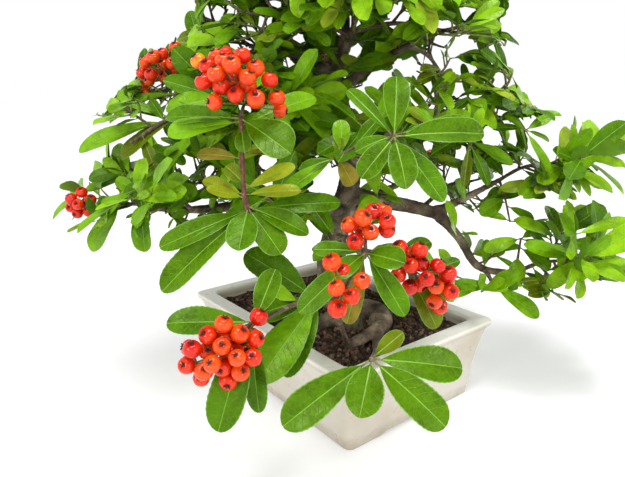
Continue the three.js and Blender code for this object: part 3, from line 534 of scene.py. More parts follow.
def turned(vector, axis, angle):
    """The vector turned about a unit axis."""
    cos, sin = math.cos(angle), math.sin(angle)
    return vector * cos + np.cross(axis, vector) * sin + axis * (axis @ vector) * (1 - cos)


def between(random, limits):
    return limits[0] + (limits[1] - limits[0]) * random.random()


def camera_axes():
    """To the right in the picture, up in it, and ahead."""
    ahead = AWAY * math.cos(CAMERA_PITCH) - UP * math.sin(CAMERA_PITCH)
    over = np.cross(ACROSS, ahead)
    right = math.cos(CAMERA_ROLL) * ACROSS + math.sin(CAMERA_ROLL) * over
    return right, math.cos(CAMERA_ROLL) * over - math.sin(CAMERA_ROLL) * ACROSS, ahead


CAMERA_AXES = camera_axes()
EYE = np.array(CAMERA_SPOT) / MM
GAPS = np.array([gap for zone in SKY.values() for gap in zone], float)


def hides_sky(points, margin):
    """Whether any of the points is seen in one of the gaps, or nearer to it than the margin."""
    right, top, ahead = ((points - EYE) @ axis for axis in CAMERA_AXES)
    x = PICTURE[0] / 2 + FOCAL_PIXELS * right / ahead
    y = PICTURE[1] / 2 - FOCAL_PIXELS * top / ahead
    off = np.hypot(x[:, None] - GAPS[:, 0], y[:, None] - GAPS[:, 1])
    return bool(np.any(off < GAPS[:, 2] + margin))


def place_seen(pixel, foot, nearer):
    """The place seen at a pixel, nearer to the camera than the foot by so much."""
    right, top, out = CAMERA_AXES
    ahead = (foot - EYE) @ out - nearer
    off = (pixel[0] - PICTURE[0] / 2) * right - (pixel[1] - PICTURE[1] / 2) * top
    return EYE + ahead * (out + off / FOCAL_PIXELS)


class Path:
    """A line of points that can be asked for the point at a share of its length."""

    def __init__(self, points):
        self.points = np.asarray(points, float)
        steps = np.linalg.norm(np.diff(self.points, axis=0), axis=1)
        self.marks = np.concatenate([[0], np.cumsum(steps)])
        self.length = self.marks[-1]

    def at(self, share):
        where = np.asarray(share) * self.length
        return np.stack([np.interp(where, self.marks, column) for column in self.points.T], -1)

    def heading_at(self, share):
        return unit(self.at(min(share + 0.02, 1)) - self.at(max(share - 0.02, 0)))


def curve_through(places, fine=24):
    """The centripetal Catmull-Rom curve through the places."""
    p = np.array(places, float)
    p = np.vstack([2 * p[0] - p[1], p, 2 * p[-1] - p[-2]])
    gap = np.sqrt(np.linalg.norm(np.diff(p, axis=0), axis=1))
    t = np.linspace(0, 1, fine, endpoint=False)[:, None]
    stretches = []
    for i in range(1, len(p) - 2):
        leave = (p[i] - p[i - 1]) / gap[i - 1] - (p[i + 1] - p[i - 1]) / (gap[i - 1] + gap[i])
        leave = (leave + (p[i + 1] - p[i]) / gap[i]) * gap[i]
        arrive = (p[i + 1] - p[i]) / gap[i] - (p[i + 2] - p[i]) / (gap[i] + gap[i + 1])
        arrive = (arrive + (p[i + 2] - p[i + 1]) / gap[i + 1]) * gap[i]
        square = -3 * p[i] + 3 * p[i + 1] - 2 * leave - arrive
        cube = 2 * p[i] - 2 * p[i + 1] + leave + arrive
        stretches.append(p[i] + leave * t + square * t**2 + cube * t**3)
    return Path(np.vstack(stretches + [p[-2:-1]]))


def limb_path(limb):
    return curve_through([place(*point) for point in limb["path"]])


def limb_radius(limb, share, in_soil):
    flare = FLARE * np.exp(-share / FLARE_SHARE) if in_soil else 0
    return limb["foot"] + (limb["tip"] - limb["foot"]) * share**TAPER_POWER + flare


def limb_of(mass):
    return {**LIMBS, **ROOTS}[mass["limb"]]


def stem_path(mass):
    """The stem of a mass runs from its limb, over its bend, to the middle of the mass."""
    start, end = limb_path(limb_of(mass)).at(mass["along"]), place(*mass["centre"])
    middle = (start + end) / 2 + BOW * np.linalg.norm(end - start) * UP
    if "bend" in mass:
        middle = place(*mass["bend"])
    return curve_through([start, middle, end])


def stem_radius(mass, share):
    limb_here = limb_radius(limb_of(mass), mass["along"], mass["limb"] in ROOTS)
    foot = min(TWIG_RADIUS + 0.5, 0.8 * limb_here)
    return foot + (TWIG_RADIUS - 0.2 - foot) * share


# ---- Joined meshes ----


@functools.lru_cache(maxsize=None)
def sheet_quads(rows, columns, closed):
    """Faces of rows by columns of points; closed joins the last column to the first."""
    row, column = np.meshgrid(np.arange(rows - 1), np.arange(columns - (not closed)), indexing="ij")
    here = row * columns + column
    beside = row * columns + (column + 1) % columns
    return np.stack([here, beside, beside + columns, here + columns], -1).reshape(-1, 4)


def end_fans(rings, sides):
    """Triangles that close rings of points at both ends, to the two points that follow them."""
    first = np.arange(sides)
    second = (first + 1) % sides
    foot, last = np.full(sides, rings * sides), (rings - 1) * sides
    return np.vstack([
        np.stack([foot, second, first], -1),
        np.stack([foot + 1, last + first, last + second], -1),
    ])


def circle(sides):
    """Equal steps round a full turn."""
    return 2 * math.pi * np.arange(sides) / sides


def spokes(turn, side, other):
    """Directions in the plane of two axes, by their angles."""
    return np.cos(turn)[:, None] * side + np.sin(turn)[:, None] * other


def scene_object(name, data):
    """A new object of the data, in the scene."""
    made = bpy.data.objects.new(name, data)
    bpy.context.scene.collection.objects.link(made)
    return made


class Heap:
    """Small shapes that are joined into one mesh, each face with the number of its finish."""

    def __init__(self):
        self.points, self.marks, self.quads, self.tris = [], [], [], []
        self.quad_finish, self.tri_finish = [], []
        self.count = 0

    def add(self, points, quads, finish, tris=None, marks=None):
        self.points.append(points)
        self.marks.append(np.zeros((len(points), 2)) if marks is None else marks)
        self.quads.append(quads + self.count)
        self.quad_finish.append(np.broadcast_to(finish, len(quads)))
        if tris is not None:
            self.tris.append(tris + self.count)
            self.tri_finish.append(np.full(len(tris), np.max(finish)))
        self.count += len(points)

    def mesh(self, name):
        """The heap as a mesh in metres; its UV map holds the marks."""
        faces = np.vstack(self.quads).tolist()
        finish = list(self.quad_finish)
        if self.tris:
            faces += np.vstack(self.tris).tolist()
            finish += self.tri_finish
        made = bpy.data.meshes.new(name)
        made.from_pydata((np.vstack(self.points) * MM).tolist(), [], faces)
        made.polygons.foreach_set("material_index", np.concatenate(finish).astype(np.int32))
        made.polygons.foreach_set("use_smooth", np.ones(len(faces), bool))
        corners = np.empty(len(made.loops), np.int32)
        made.loops.foreach_get("vertex_index", corners)
        layer = made.uv_layers.new(name="marks")
        layer.data.foreach_set("uv", np.vstack(self.marks)[corners].ravel())
        made.update()
        return made


def piece(name, mesh, finishes, nodes):
    """A finished piece of the plant or the pot, which stands for the nodes that it replaces."""
    made = scene_object(name, mesh)
    for finish in finishes:
        mesh.materials.append(finish)
    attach(made, "root")
    if nodes:
        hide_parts(*nodes)
    return made


def tube(heap, line, radii, sides, finish):
    """A round bar along a line of points, closed at both ends. Radii are one for each point, or
    one for each point and side."""
    along = np.gradient(line, axis=0)
    along /= np.linalg.norm(along, axis=1, keepdims=True)
    turn = circle(sides)
    normal = np.cross(along[0], UP if abs(along[0][2]) < 0.9 else ACROSS)
    rings = []
    for point, direction, radius in zip(line, along, radii):
        normal = unit(normal - direction * (direction @ normal))
        ring = spokes(turn, normal, np.cross(direction, normal))
        rings.append(point + ring * np.reshape(radius, (-1, 1)))
    points = np.vstack(rings + [line[:1], line[-1:]])
    heap.add(points, sheet_quads(len(line), sides, True), finish, end_fans(len(line), sides))


# ---- What lies where: the space of each mass, and what must stay clear ----

ALL_MASSES = [mass for region in MASSES.values() for mass in region]
OWNERS = [mass["name"] for mass in ALL_MASSES]


def bead_row(owner, path, radius_at):
    """A limb or stem as a row of balls: (owner, centre, radius)."""
    shares = np.linspace(0, 1, math.ceil(path.length / 3) + 1)
    return [(owner, path.at(share), radius_at(share)) for share in shares]


def limb_beads(owner, limb, in_soil):
    return bead_row(owner, limb_path(limb), lambda share: limb_radius(limb, share, in_soil))


def all_beads():
    rows = []
    for name, limb in LIMBS.items():
        rows += limb_beads(name, limb, name == "trunk")
    for root in ROOTS.values():
        rows += limb_beads("trunk", root, True)
    for mass in ALL_MASSES:
        rows += bead_row(mass["name"], mass["stem"], functools.partial(stem_radius, mass))
    return rows


for mass in ALL_MASSES:
    mass["stem"] = stem_path(mass)
BEADS = all_beads()
BEAD_OWNER = np.array([OWNERS.index(owner) if owner in OWNERS else -1 for owner, _, _ in BEADS])
BEAD_CENTRE = np.array([centre for _, centre, _ in BEADS])
BEAD_RADIUS = np.array([radius for _, _, radius in BEADS])

BALLS = [
    (number, place(*ball[:3]), ball[3])
    for number, mass in enumerate(ALL_MASSES)
    for ball in mass.get("balls", [(*mass["centre"], mass["reach"])])
]
BALL_OWNER = np.array([number for number, _, _ in BALLS])
BALL_CENTRE = np.array([centre for _, centre, _ in BALLS])
BALL_REACH = np.array([reach for _, _, reach in BALLS])
LOWEST, HIGHEST = (np.array(corner) / MM for corner in cad_box)
FREE = -2  # the number of a spur, which grows outside every mass


def in_own_space(number, points):
    """Whether points lie where one of the mass's own balls is the one that they are deepest in."""
    if number == FREE:
        return True
    depth = ((points[:, None] - BALL_CENTRE) ** 2).sum(-1) - BALL_REACH**2
    own = np.where(BALL_OWNER == number)[0]
    nearest = own[depth[:, own].argmin(1)]
    border = 2 * np.linalg.norm(BALL_CENTRE[nearest][:, None] - BALL_CENTRE, axis=-1)
    apart = depth - depth[np.arange(len(points)), nearest][:, None]
    return bool(np.all((apart > -border * BORDER_SLACK) | (BALL_OWNER == number)))


def is_clear(number, points, radius):
    """Whether points keep clear of the rim, of the box's walls and of every limb but the mass's
    own stem."""
    if np.any(points[:, 2] < POT_HEIGHT + RIM_MARGIN + radius):
        return False
    if np.any(points < LOWEST - BOX_SLACK) or np.any(points > HIGHEST + BOX_SLACK):
        return False
    others = BEAD_OWNER != number
    gaps = np.linalg.norm(points[:, None] - BEAD_CENTRE[others], axis=-1) - BEAD_RADIUS[others]
    return bool(np.all(gaps > radius + LIMB_MARGIN))


# ---- Leaves ----

TINTS = ("bright", "mid", "deep", "dark", "olive", "young", "yellow", "brown", "rich")
LEAF_FINISHES = TINTS + ("rib", "edge", "underside")
# The tints of the leaves that grow by the rule, by region. The leaves vary in tint, and the top, sides and
# back, which the crown shades, take more of the bright and young tints as painted light, while the front
# takes deeper tints.
SPRAY_TINTS = {
    "front": (("mid", 0.4), ("deep", 0.4), ("rich", 0.2)),
    "left": (
        ("bright", 0.34), ("mid", 0.34), ("deep", 0.16), ("dark", 0.06), ("olive", 0.04), ("young", 0.06),
    ),
    "top": (("bright", 0.44), ("mid", 0.26), ("deep", 0.08), ("olive", 0.04), ("young", 0.18)),
    "right": (("bright", 0.42), ("mid", 0.32), ("deep", 0.12), ("olive", 0.04), ("young", 0.1)),
    "back": (("bright", 0.32), ("mid", 0.34), ("deep", 0.2), ("dark", 0.06), ("young", 0.08)),
}
RIB, EDGE, UNDERSIDE = (LEAF_FINISHES.index(name) for name in ("rib", "edge", "underside"))
BROWN_TWIG, GREEN_TWIG, RED_TWIG = range(3)


class BladePattern:
    """How finely a leaf's blade is divided, along its midrib and across each half."""

    def __init__(self, stations, upper, lower, toothed):
        even = np.linspace(0, 1, stations)
        self.along = 0.996 * even * (1.35 - 0.35 * even)
        upper = np.array(upper)
        self.upper = np.concatenate([-upper[::-1], [0, 0], upper])
        self.lower = np.array([*(-np.array(lower)[::-1]), 0, *lower])
        self.middle = len(upper)
        self.toothed = toothed
        strips = len(self.upper) - 1
        self.finish = np.full(strips, -1)
        self.finish[self.middle] = RIB
        if toothed:
            self.finish[[0, -1]] = EDGE


FINE_BLADE = BladePattern(29, (0.3, 0.62, 0.94, 1), (0.5, 1), True)
PLAIN_BLADE = BladePattern(9, (0.55, 1), (1,), False)


def leaf_frame(base, direction, roll, sideways=SIDEWAYS):
    """The three axes of a leaf: along its midrib, across it, and out of its upper face."""
    along = unit(direction)
    normal = facing(base, sideways)
    normal = turned(unit(normal - along * (normal @ along)), along, roll)
    return along, np.cross(along, normal), normal


def add_blade(heap, pattern, base, frame, length, width, tint, random):
    """A blade with its fold, droop, twist and waves; its two faces meet at the margin."""
    along, across, normal = frame
    widest = 0.56 + 0.12 * random.random()
    wedge, blunt = 1.5 + 0.5 * random.random(), 2.3 + 0.9 * random.random()
    fold, droop = 0.14 + 0.26 * random.random(), 0.06 + 0.18 * random.random()
    twist, wave = 0.5 * (random.random() - 0.5), 0.05 + 0.06 * random.random()
    phase = 2 * math.pi * random.random()
    x = pattern.along[:, None]
    off = np.where(x < widest, (widest - x) / widest, (x - widest) / (1 - widest))
    outline = np.where(x < widest, (1 - off**wedge) ** 0.85, (1 - off**blunt) ** 0.55)
    half = np.maximum(width / 2 * outline, 0.35)
    if pattern.toothed:
        teeth = np.where(np.arange(len(x)) % 2, 1.012, 0.985)[:, None]
        half = half * np.where(x > 0.3, teeth, 1)

    def add_face(y, bulge, sink, finish, order):
        out = y * half
        rise = fold * np.abs(out) + bulge * half * np.abs(y) * (1 - np.abs(y)) - droop * length * x**2
        rise = rise + wave * half * y**2 * np.sin(9 * x + phase + 2 * (y > 0)) - sink
        turn = twist * x
        side, lift = out * np.cos(turn), rise + out * np.sin(turn)
        points = base + (x * length)[..., None] * along + side[..., None] * across + lift[..., None] * normal
        marks = np.stack([out / 10, np.broadcast_to(x * length / 10, out.shape)], -1)
        quads = sheet_quads(*y.shape, False)[:, ::order]
        heap.add(points.reshape(-1, 3), quads, finish, marks=marks.reshape(-1, 2))

    y = np.broadcast_to(pattern.upper, (len(x), len(pattern.upper))).copy()
    rib = np.minimum(RIB_HALF * (1 - 0.6 * x[:, 0]) / half[:, 0], 0.28)
    y[:, pattern.middle], y[:, pattern.middle + 1] = -rib, rib
    add_face(y, 0.12, 0, np.tile(np.where(pattern.finish < 0, tint, pattern.finish), len(x) - 1), 1)
    y = np.broadcast_to(pattern.lower, (len(x), len(pattern.lower)))
    sink = LEAF_THICK * (1 - y**2) * np.sin(math.pi * np.clip(x, 0.02, 1)) ** 0.5
    add_face(y, 0.05, sink, UNDERSIDE, -1)


class Crown:
    """The whole foliage as it grows: its heaps, and the marks that keep leaves apart."""

    def __init__(self):
        self.leaves = {region: Heap() for region in MASSES}
        self.twigs, self.berries, self.stars = Heap(), Heap(), Heap()
        self.taken = np.full((20000, 3), 1e6)
        self.used = 0
        self.views = []

    def is_crowded(self, marks, apart):
        taken = self.taken[: self.used]
        return self.used and np.min(np.linalg.norm(marks[:, None] - taken, axis=-1)) < apart

    def hides_fruit(self, points):
        """Whether points lie in one of the balls of air before the fruit."""
        return any(np.any(np.linalg.norm(points - centre, axis=1) < reach) for centre, reach in self.views)

    def take(self, marks):
        self.taken[self.used:self.used + len(marks)] = marks
        self.used += len(marks)


crown = Crown()


def blade_points(base, frame, length, width):
    """Points all over a blade, about as it lies."""
    along, across, normal = frame
    share = np.linspace(0.15, 1, 8)[:, None, None]
    side = np.array([-1, -0.5, 0, 0.5, 1])[:, None] * 0.46 * width * np.sin(math.pi * share**0.8) ** 0.5
    points = base + share * length * along - LEAF_SAG * length * share**2 * normal + side * across
    return points.reshape(-1, 3)


def grow_leaf(region, number, random, base, frame, size, tint, placed, lowest=0):
    """One leaf on its petiole, if it finds room. A placed leaf may leave its mass's own space."""
    length, width = size
    along, across, normal = frame
    shares = np.array([0.25, 0.5, 0.75, 1])[:, None]
    ridge = base + shares * length * along - LEAF_SAG * length * shares**2 * normal
    wings = base + 0.65 * length * along + np.array([[-0.5], [0.5]]) * width * across
    spots = np.vstack([ridge, wings])
    if ridge[:, 2].min() < lowest or not (placed or in_own_space(number, spots[1:])):
        return False
    if not is_clear(number, spots, LEAF_THICK):
        return False
    if crown.is_crowded(ridge[1:], width * (PLACED_SPACING if placed else LEAF_SPACING)):
        return False
    if not placed and crown.hides_fruit(spots):
        return False
    if not placed and hides_sky(blade_points(base, frame, length, width), GAP_MARGIN):
        return False
    crown.take(ridge[1:])
    stalk = PETIOLE_SHARE * length
    foot = base + stalk * along
    bend = np.array([base, base + 0.5 * stalk * along + 0.08 * stalk * normal, foot + 0.4 * along])
    tube(crown.twigs, bend, (0.62, 0.45, 0.42), 5, GREEN_TWIG)
    pattern = FINE_BLADE if placed else PLAIN_BLADE
    add_blade(crown.leaves[region], pattern, foot, frame, length - stalk, width, TINTS.index(tint), random)
    return True


def pick(random, weights):
    """A name by its weight."""
    names, shares = zip(*weights)
    return names[np.searchsorted(np.cumsum(shares) / sum(shares), random.random())]


def dress_twig(region, number, random, path, count, tint, lowest):
    """Leaves round a twig, closer towards its tip, each turned on by the golden angle. Gives the
    share of the twig's length at which its last leaf sits, or 0 where none finds room."""
    start = 2 * math.pi * random.random()
    last = 0
    spread = min(MOST_LEAFY, LEAF_STEP * count / path.length)
    for n in range(count):
        share = LAST_SHARE - spread * (n / count) ** 1.3
        base, direction = path.at(share), path.heading_at(share)
        across = unit(np.cross(direction, facing(base)))
        over = np.cross(across, direction)
        own_tint = tint if random.random() < KEPT_TINT else pick(random, SPRAY_TINTS[region])
        for attempt in range(TRIES):
            turn = start + n * GOLDEN_ANGLE + (random.random() - 0.5) * attempt
            opening = END_LEAF_OPENING if n == 0 else LEAF_OPENING
            open_by = math.radians(opening) + 0.5 * (random.random() - 0.5)
            length = between(random, LEAF_LENGTH) * (1 - 0.05 * attempt) * (1 - 0.04 * n)
            width = length * between(random, LEAF_SLIMNESS)
            away = math.cos(turn) * across + math.sin(turn) * over
            leaf = math.cos(open_by) * direction + math.sin(open_by) * away
            axes = leaf_frame(base, leaf, random.random() - 0.5)
            if attempt < FACING_TRIES and abs(axes[2] @ CAMERA_AXES[2]) < LEAST_FACE:
                continue
            if grow_leaf(region, number, random, base, axes, (length, width), own_tint, False, lowest):
                last = max(last, share)
                break
    return last


def grow_twig(number, random, root, axis, turn, opening, limits, radius, clear_from=0.15):
    """A slightly bent twig that leaves its parent at the opening angle, in degrees, or nothing."""
    side = unit(np.cross(axis, UP if abs(axis[2]) < 0.95 else ACROSS))
    other = np.cross(axis, side)
    for attempt in range(TRIES):
        angle = turn + (random.random() - 0.5) * (0.6 + attempt)
        open_by = math.radians(between(random, opening) + 4 * attempt)
        length = between(random, limits) * (1 - 0.06 * attempt)
        away = math.cos(angle) * side + math.sin(angle) * other
        direction = unit(math.cos(open_by) * axis + math.sin(open_by) * away + 0.15 * UP)
        tip = root + direction * length
        bow = 0.09 * length * (random.random(3) - 0.5) - 0.04 * length * UP
        path = Path(curve_through([root, (root + tip) / 2 + bow, tip], 6).points)
        points = path.at(np.linspace(clear_from, 1, 7))
        if not in_own_space(number, points[-2:]) or hides_sky(points[3:], -GAP_MARGIN):
            continue
        if is_clear(number, points, radius):
            return path
    return None


def add_twig(path, end, radius_foot, radius_tip, sides, finish):
    """The twig as a bar, up to a share of its length."""
    count = max(4, math.ceil(path.length / 5))
    shares = np.linspace(0, end, count)
    knots = 1 + 0.12 * np.cos(shares * count * 2.4)
    radii = (radius_foot + (radius_tip - radius_foot) * shares) * knots
    tube(crown.twigs, path.at(shares), radii, sides, finish)


def grow_generic(region, number, mass, random):
    """Twigs and side twigs by the seeded rule, with leaves round their ends."""
    stem, twigs = mass["stem"], mass.get("twigs", TWIGS)
    lowest = stem.at(0)[2] - HANG
    limits = (0.5 * mass["reach"], 0.85 * mass["reach"])
    for k in range(twigs):
        share = LAST_SHARE - TWIGGY_SHARE * k / twigs
        twig = grow_twig(
            number, random, stem.at(share), stem.heading_at(share), k * GOLDEN_ANGLE,
            END_OPENING if k == 0 else OPENING, limits, TWIG_RADIUS * 0.7,
        )
        if twig is None:
            continue
        tint = pick(random, SPRAY_TINTS[region])
        end = dress_twig(region, number, random, twig, TIP_LEAVES, tint, lowest)
        for j in range(SIDE_TWIGS):
            foot = 0.35 + 0.4 * j / SIDE_TWIGS + 0.1 * random.random()
            side = grow_twig(
                number, random, twig.at(foot), twig.heading_at(foot), 2.2 * k + j * math.pi,
                SIDE_OPENING, SIDE_TWIG_LENGTH, TWIG_RADIUS * 0.5,
            )
            if side is None:
                continue
            side_tint = pick(random, [(tint, 0.6), *SPRAY_TINTS[region]])
            side_end = dress_twig(region, number, random, side, TIP_LEAVES, side_tint, lowest)
            if side_end:
                add_twig(side, side_end, TWIG_RADIUS * 0.6, TWIG_RADIUS * 0.4, 5, GREEN_TWIG)
                end = max(end, foot)
        if end:
            add_twig(twig, end, TWIG_RADIUS * 0.85, TWIG_RADIUS * 0.5, 6, BROWN_TWIG)


def grow_spurs():
    """Short spurs with a few leaves on the bare stretches of the boughs and of the upper trunk."""
    regions = [region for region, masses in MASSES.items() for _ in masses]
    random = np.random.default_rng(SPUR_SEED)
    for name, limb in LIMBS.items():
        path = limb_path(limb)
        first = 0.5 if name == "trunk" else 0.2
        count = int(path.length * (1 - first) / SPUR_STEP)
        for k in range(count):
            share = first + (0.97 - first) * (k + 0.6 * random.random()) / count
            foot = path.at(share)
            twig = grow_twig(
                FREE, random, foot, path.heading_at(share), k * GOLDEN_ANGLE, SPUR_OPENING,
                (SPUR_LENGTH[0] + limb["foot"], SPUR_LENGTH[1] + limb["foot"]), TWIG_RADIUS * 0.5, 0.7,
            )
            if twig is None:
                continue
            near = (np.linalg.norm(BALL_CENTRE - twig.at(1), axis=1) - BALL_REACH).argmin()
            region = regions[BALL_OWNER[near]]
            tint = pick(random, SPRAY_TINTS[region])
            end = dress_twig(region, FREE, random, twig, SPUR_LEAVES, tint, foot[2] - HANG)
            if end:
                add_twig(twig, end, TWIG_RADIUS * 0.8, TWIG_RADIUS * 0.45, 5, BROWN_TWIG)


def grow_rows(region, number, random, path, rows):
    """Leaves at their own places along a path, at full size where there is room."""
    for share, pixel, nearer, width, tint in rows:
        base = path.at(share * STEM_END)
        reach = place_seen(pixel, base, nearer) - base
        axes = leaf_frame(base, reach, 0, PLACED_SIDEWAYS)
        for attempt in range(TRIES):
            size = np.array([np.linalg.norm(reach), width]) * (1 - 0.08 * attempt)
            if grow_leaf(region, number, random, base, axes, size, tint, True):
                break


def grow_placed(region, number, mass, random):
    """The leaves and sprigs that have a place of their own."""
    grow_rows(region, number, random, mass["stem"], mass.get("leaves", ()))
    for share, pixel, nearer, rows in mass.get("sprigs", ()):
        root = mass["stem"].at(share * STEM_END)
        tip = place_seen(pixel, root, nearer)
        path = curve_through([root, (root + tip) / 2 + BOW * np.linalg.norm(tip - root) * UP, tip])
        add_twig(path, 1, TWIG_RADIUS * 0.8, TWIG_RADIUS * 0.5, 6, BROWN_TWIG)
        grow_rows(region, number, random, path, rows)


# ---- Fruit ----

SEPALS = 5
STAR_CORNERS = 2 * SEPALS  # their tips and the notches between them
BERRY_TINTS = ("scarlet", "orange_red", "orange", "crimson")
HEAD_TINTS = {
    "warm": (("scarlet", 0.45), ("orange_red", 0.45), ("orange", 0.04), ("crimson", 0.06)),
    "red": (("crimson", 0.5), ("scarlet", 0.45), ("orange_red", 0.05)),
}


def axes_round(direction):
    side = unit(np.cross(direction, UP if abs(direction[2]) < 0.9 else ACROSS))
    return side, np.cross(direction, side)


def add_berry(centre, outward, radius, tint, random_mark):
    """A berry, a little flat, with a dimple at its far end. Its marks are a number of its own and
    how far along it a point is."""
    rings, sides = 11, 16
    side, other = axes_round(outward)
    angle = np.linspace(0, math.pi, rings + 2)[1:-1, None]
    turn = circle(sides)

    def rise(angle):
        dimple = 0.26 * np.exp(-(((math.pi - angle) / 0.34) ** 2)) - 0.12 * np.exp(-((angle / 0.3) ** 2))
        return (-0.93 * np.cos(angle) - dimple) * radius

    round_off = np.sin(angle) * (1 + 0.012 * np.cos(5 * turn + 1))
    around = radius * round_off[..., None] * spokes(turn, side, other)
    points = centre + rise(angle)[..., None] * outward + around
    ends = centre + np.array([[rise(0.0)], [rise(math.pi)]]) * outward
    points = np.vstack([points.reshape(-1, 3), ends])
    marks = np.zeros((len(points), 2))
    marks[:, 1] = [*np.repeat(angle[:, 0] / math.pi, sides), 0, 1]
    marks[:, 0] = random_mark
    quads, finish = sheet_quads(rings, sides, True), BERRY_TINTS.index(tint)
    crown.berries.add(points, quads, finish, end_fans(rings, sides), marks)


def add_star(centre, outward, radius, random):
    """The dry calyx in the dimple: five sepals whose tips stand up a little."""
    side, other = axes_round(outward)
    corners = np.arange(STAR_CORNERS)
    turn = math.pi * corners / SEPALS + 2 * math.pi * random.random()
    tips = corners % 2 == 0
    reach = np.where(tips, 0.34 + 0.1 * random.random(STAR_CORNERS), 0.1) * radius
    height = np.where(tips, 0.95 + 0.08 * random.random(STAR_CORNERS), 0.84) * radius
    rim = centre + reach[:, None] * spokes(turn, side, other) + height[:, None] * outward
    under = rim - 0.12 * radius * outward
    points = np.vstack([rim, under, centre + 0.81 * radius * outward, centre + 0.6 * radius * outward])
    beside, middle = (corners + 1) % STAR_CORNERS, np.full(STAR_CORNERS, 2 * STAR_CORNERS)
    quads = np.stack([corners + STAR_CORNERS, beside + STAR_CORNERS, beside, corners], -1)
    tris = np.vstack([
        np.stack([middle, corners, beside], -1),
        np.stack([middle + 1, beside + STAR_CORNERS, corners + STAR_CORNERS], -1),
    ])
    crown.stars.add(points, quads, 0, tris)


def head_places(shape, centre, front):
    """The berries of a head on a shallow dome, with some more behind them, pushed apart, mostly to
    the front and back, until none overlap."""
    right, up = np.array(HEADS[shape], float).T
    reach = math.hypot(right.std(), up.std()) * 1.5
    dome = DOME * np.sqrt(np.maximum(reach**2 - right**2 - up**2, 0))
    ahead = dome + 1.5 * np.cos(5.0 * np.arange(len(up)))
    behind = slice(None, None, 3 if len(right) > FEW_BERRIES else len(right))
    right, up = np.append(right, 0.55 * right[behind] + 2), np.append(up, 0.55 * up[behind] - 1)
    ahead = np.append(ahead, ahead[behind] - 1.5 * BERRY_RADIUS)
    across = np.cross(-front, UP)
    places = np.stack([right, up, ahead], -1)
    for _ in range(80):
        apart = places[:, None] - places
        gap = np.linalg.norm(apart, axis=-1) + np.eye(len(places)) * 1e3
        push = np.maximum(1.96 * BERRY_RADIUS - gap, 0)[..., None] * apart / gap[..., None]
        places = places + push.sum(1) * (0.12, 0.12, 0.5)
    return centre + places @ np.stack([across, UP, front]), reach


def grow_head(number, mass, head, random):
    """A stalk, its branches and the berries on them, with open air before them."""
    shape, at, colours = head
    centre = place(*at)
    front = -AWAY if centre @ AWAY < CROWN_BACK else AWAY
    places, reach = head_places(shape, centre, front)
    fork = centre - 0.45 * reach * front - 0.3 * reach * UP
    for ahead in FRUIT_AIR:
        crown.views.append((centre + ahead * reach * unit(front + 0.2 * facing(centre)), reach + 2))
    root = mass["stem"].at(0.97)
    line = curve_through([root, (root + fork) / 2 + 1.5 * UP, fork])
    add_twig(line, 1, TWIG_RADIUS * 0.8, TWIG_RADIUS * 0.6, 6, BROWN_TWIG)
    for berry in places:
        if not is_clear(number, berry[None], BERRY_RADIUS - LIMB_MARGIN):
            continue
        radius = BERRY_RADIUS * (0.93 + 0.12 * random.random())
        end = unit(0.8 * unit(berry - fork) + 0.5 * UP + 1.1 * (random.random(3) - 0.5))
        add_berry(berry, end, radius, pick(random, HEAD_TINTS[colours]), random.random())
        add_star(berry, end, radius, random)
        foot = berry - 0.8 * radius * end
        middle = (fork + foot) / 2 + random.random(3) - 0.5
        tube(crown.twigs, curve_through([fork, middle, foot], 3).points, np.full(7, 0.5), 5, GREEN_TWIG)
    crown.take(places)


def add_stem(mass):
    stem = mass["stem"]
    shares = np.linspace(0, 1, max(6, math.ceil(stem.length / 3)))
    radii = stem_radius(mass, shares) * (1 + 0.07 * np.cos(17 * shares) + 0.25 * np.exp(-shares / 0.04))
    finish = RED_TWIG if mass["name"] == "front_left_shoot" else BROWN_TWIG
    tube(crown.twigs, stem.at(shares), radii, 8, finish)


def grow_crown():
    """Stems, placed leaves and fruit come first, so that the rest grows round them."""
    numbered = [
        (region, number, mass, np.random.default_rng(MASS_SEED + number))
        for number, (region, mass) in enumerate(
            (region, mass) for region, masses in MASSES.items() for mass in masses
        )
    ]
    for region, number, mass, random in numbered:
        add_stem(mass)
        for head in mass.get("heads", ()):
            grow_head(number, mass, head, random)
        grow_placed(region, number, mass, random)
    for region, number, mass, random in numbered:
        grow_generic(region, number, mass, random)
    grow_spurs()


# ---- Bark ----

BARK_STEP = 1.5  # between the rings of a limb
BARK_VOXEL = 0.95
BARK_FINE = 0.28  # depth of the fine relief


def noise_at(points, scale):
    """Smooth noise from -1 to 1 at points, its patches about scale wide."""
    return np.array([noise.noise(Vector(point)) for point in points / scale])


def rough_limb(heap, limb, in_soil, shift):
    """A limb with swellings and with long fissures that follow it."""
    path = limb_path(limb)
    shares = np.linspace(0, 1, math.ceil(path.length / BARK_STEP))
    radii = limb_radius(limb, shares, in_soil)
    sides = max(12, math.ceil(2 * math.pi * limb["foot"] / 1.3))
    turn = circle(sides)
    away = shares[:, None] * path.length
    spin = turn + 0.012 * away
    ring = np.stack([np.cos(spin) * radii[:, None], np.sin(spin) * radii[:, None], away + 0 * spin], -1)
    flat = ring.reshape(-1, 3) + shift
    swell = noise_at(flat * (1, 1, 0.35), 7).reshape(ring.shape[:2])
    fissure = noise_at(flat * (1, 1, 0.3), 2.4).reshape(ring.shape[:2])
    relief = 0.1 * swell * radii[:, None] + 0.075 * radii[:, None] ** 0.75 * (0.5 - 2 * np.abs(fissure))
    collar = 1 + 0.35 * np.exp(-shares / 0.05)[:, None] * (not in_soil)
    tube(heap, path.at(shares), radii[:, None] * collar + relief, sides, 0)


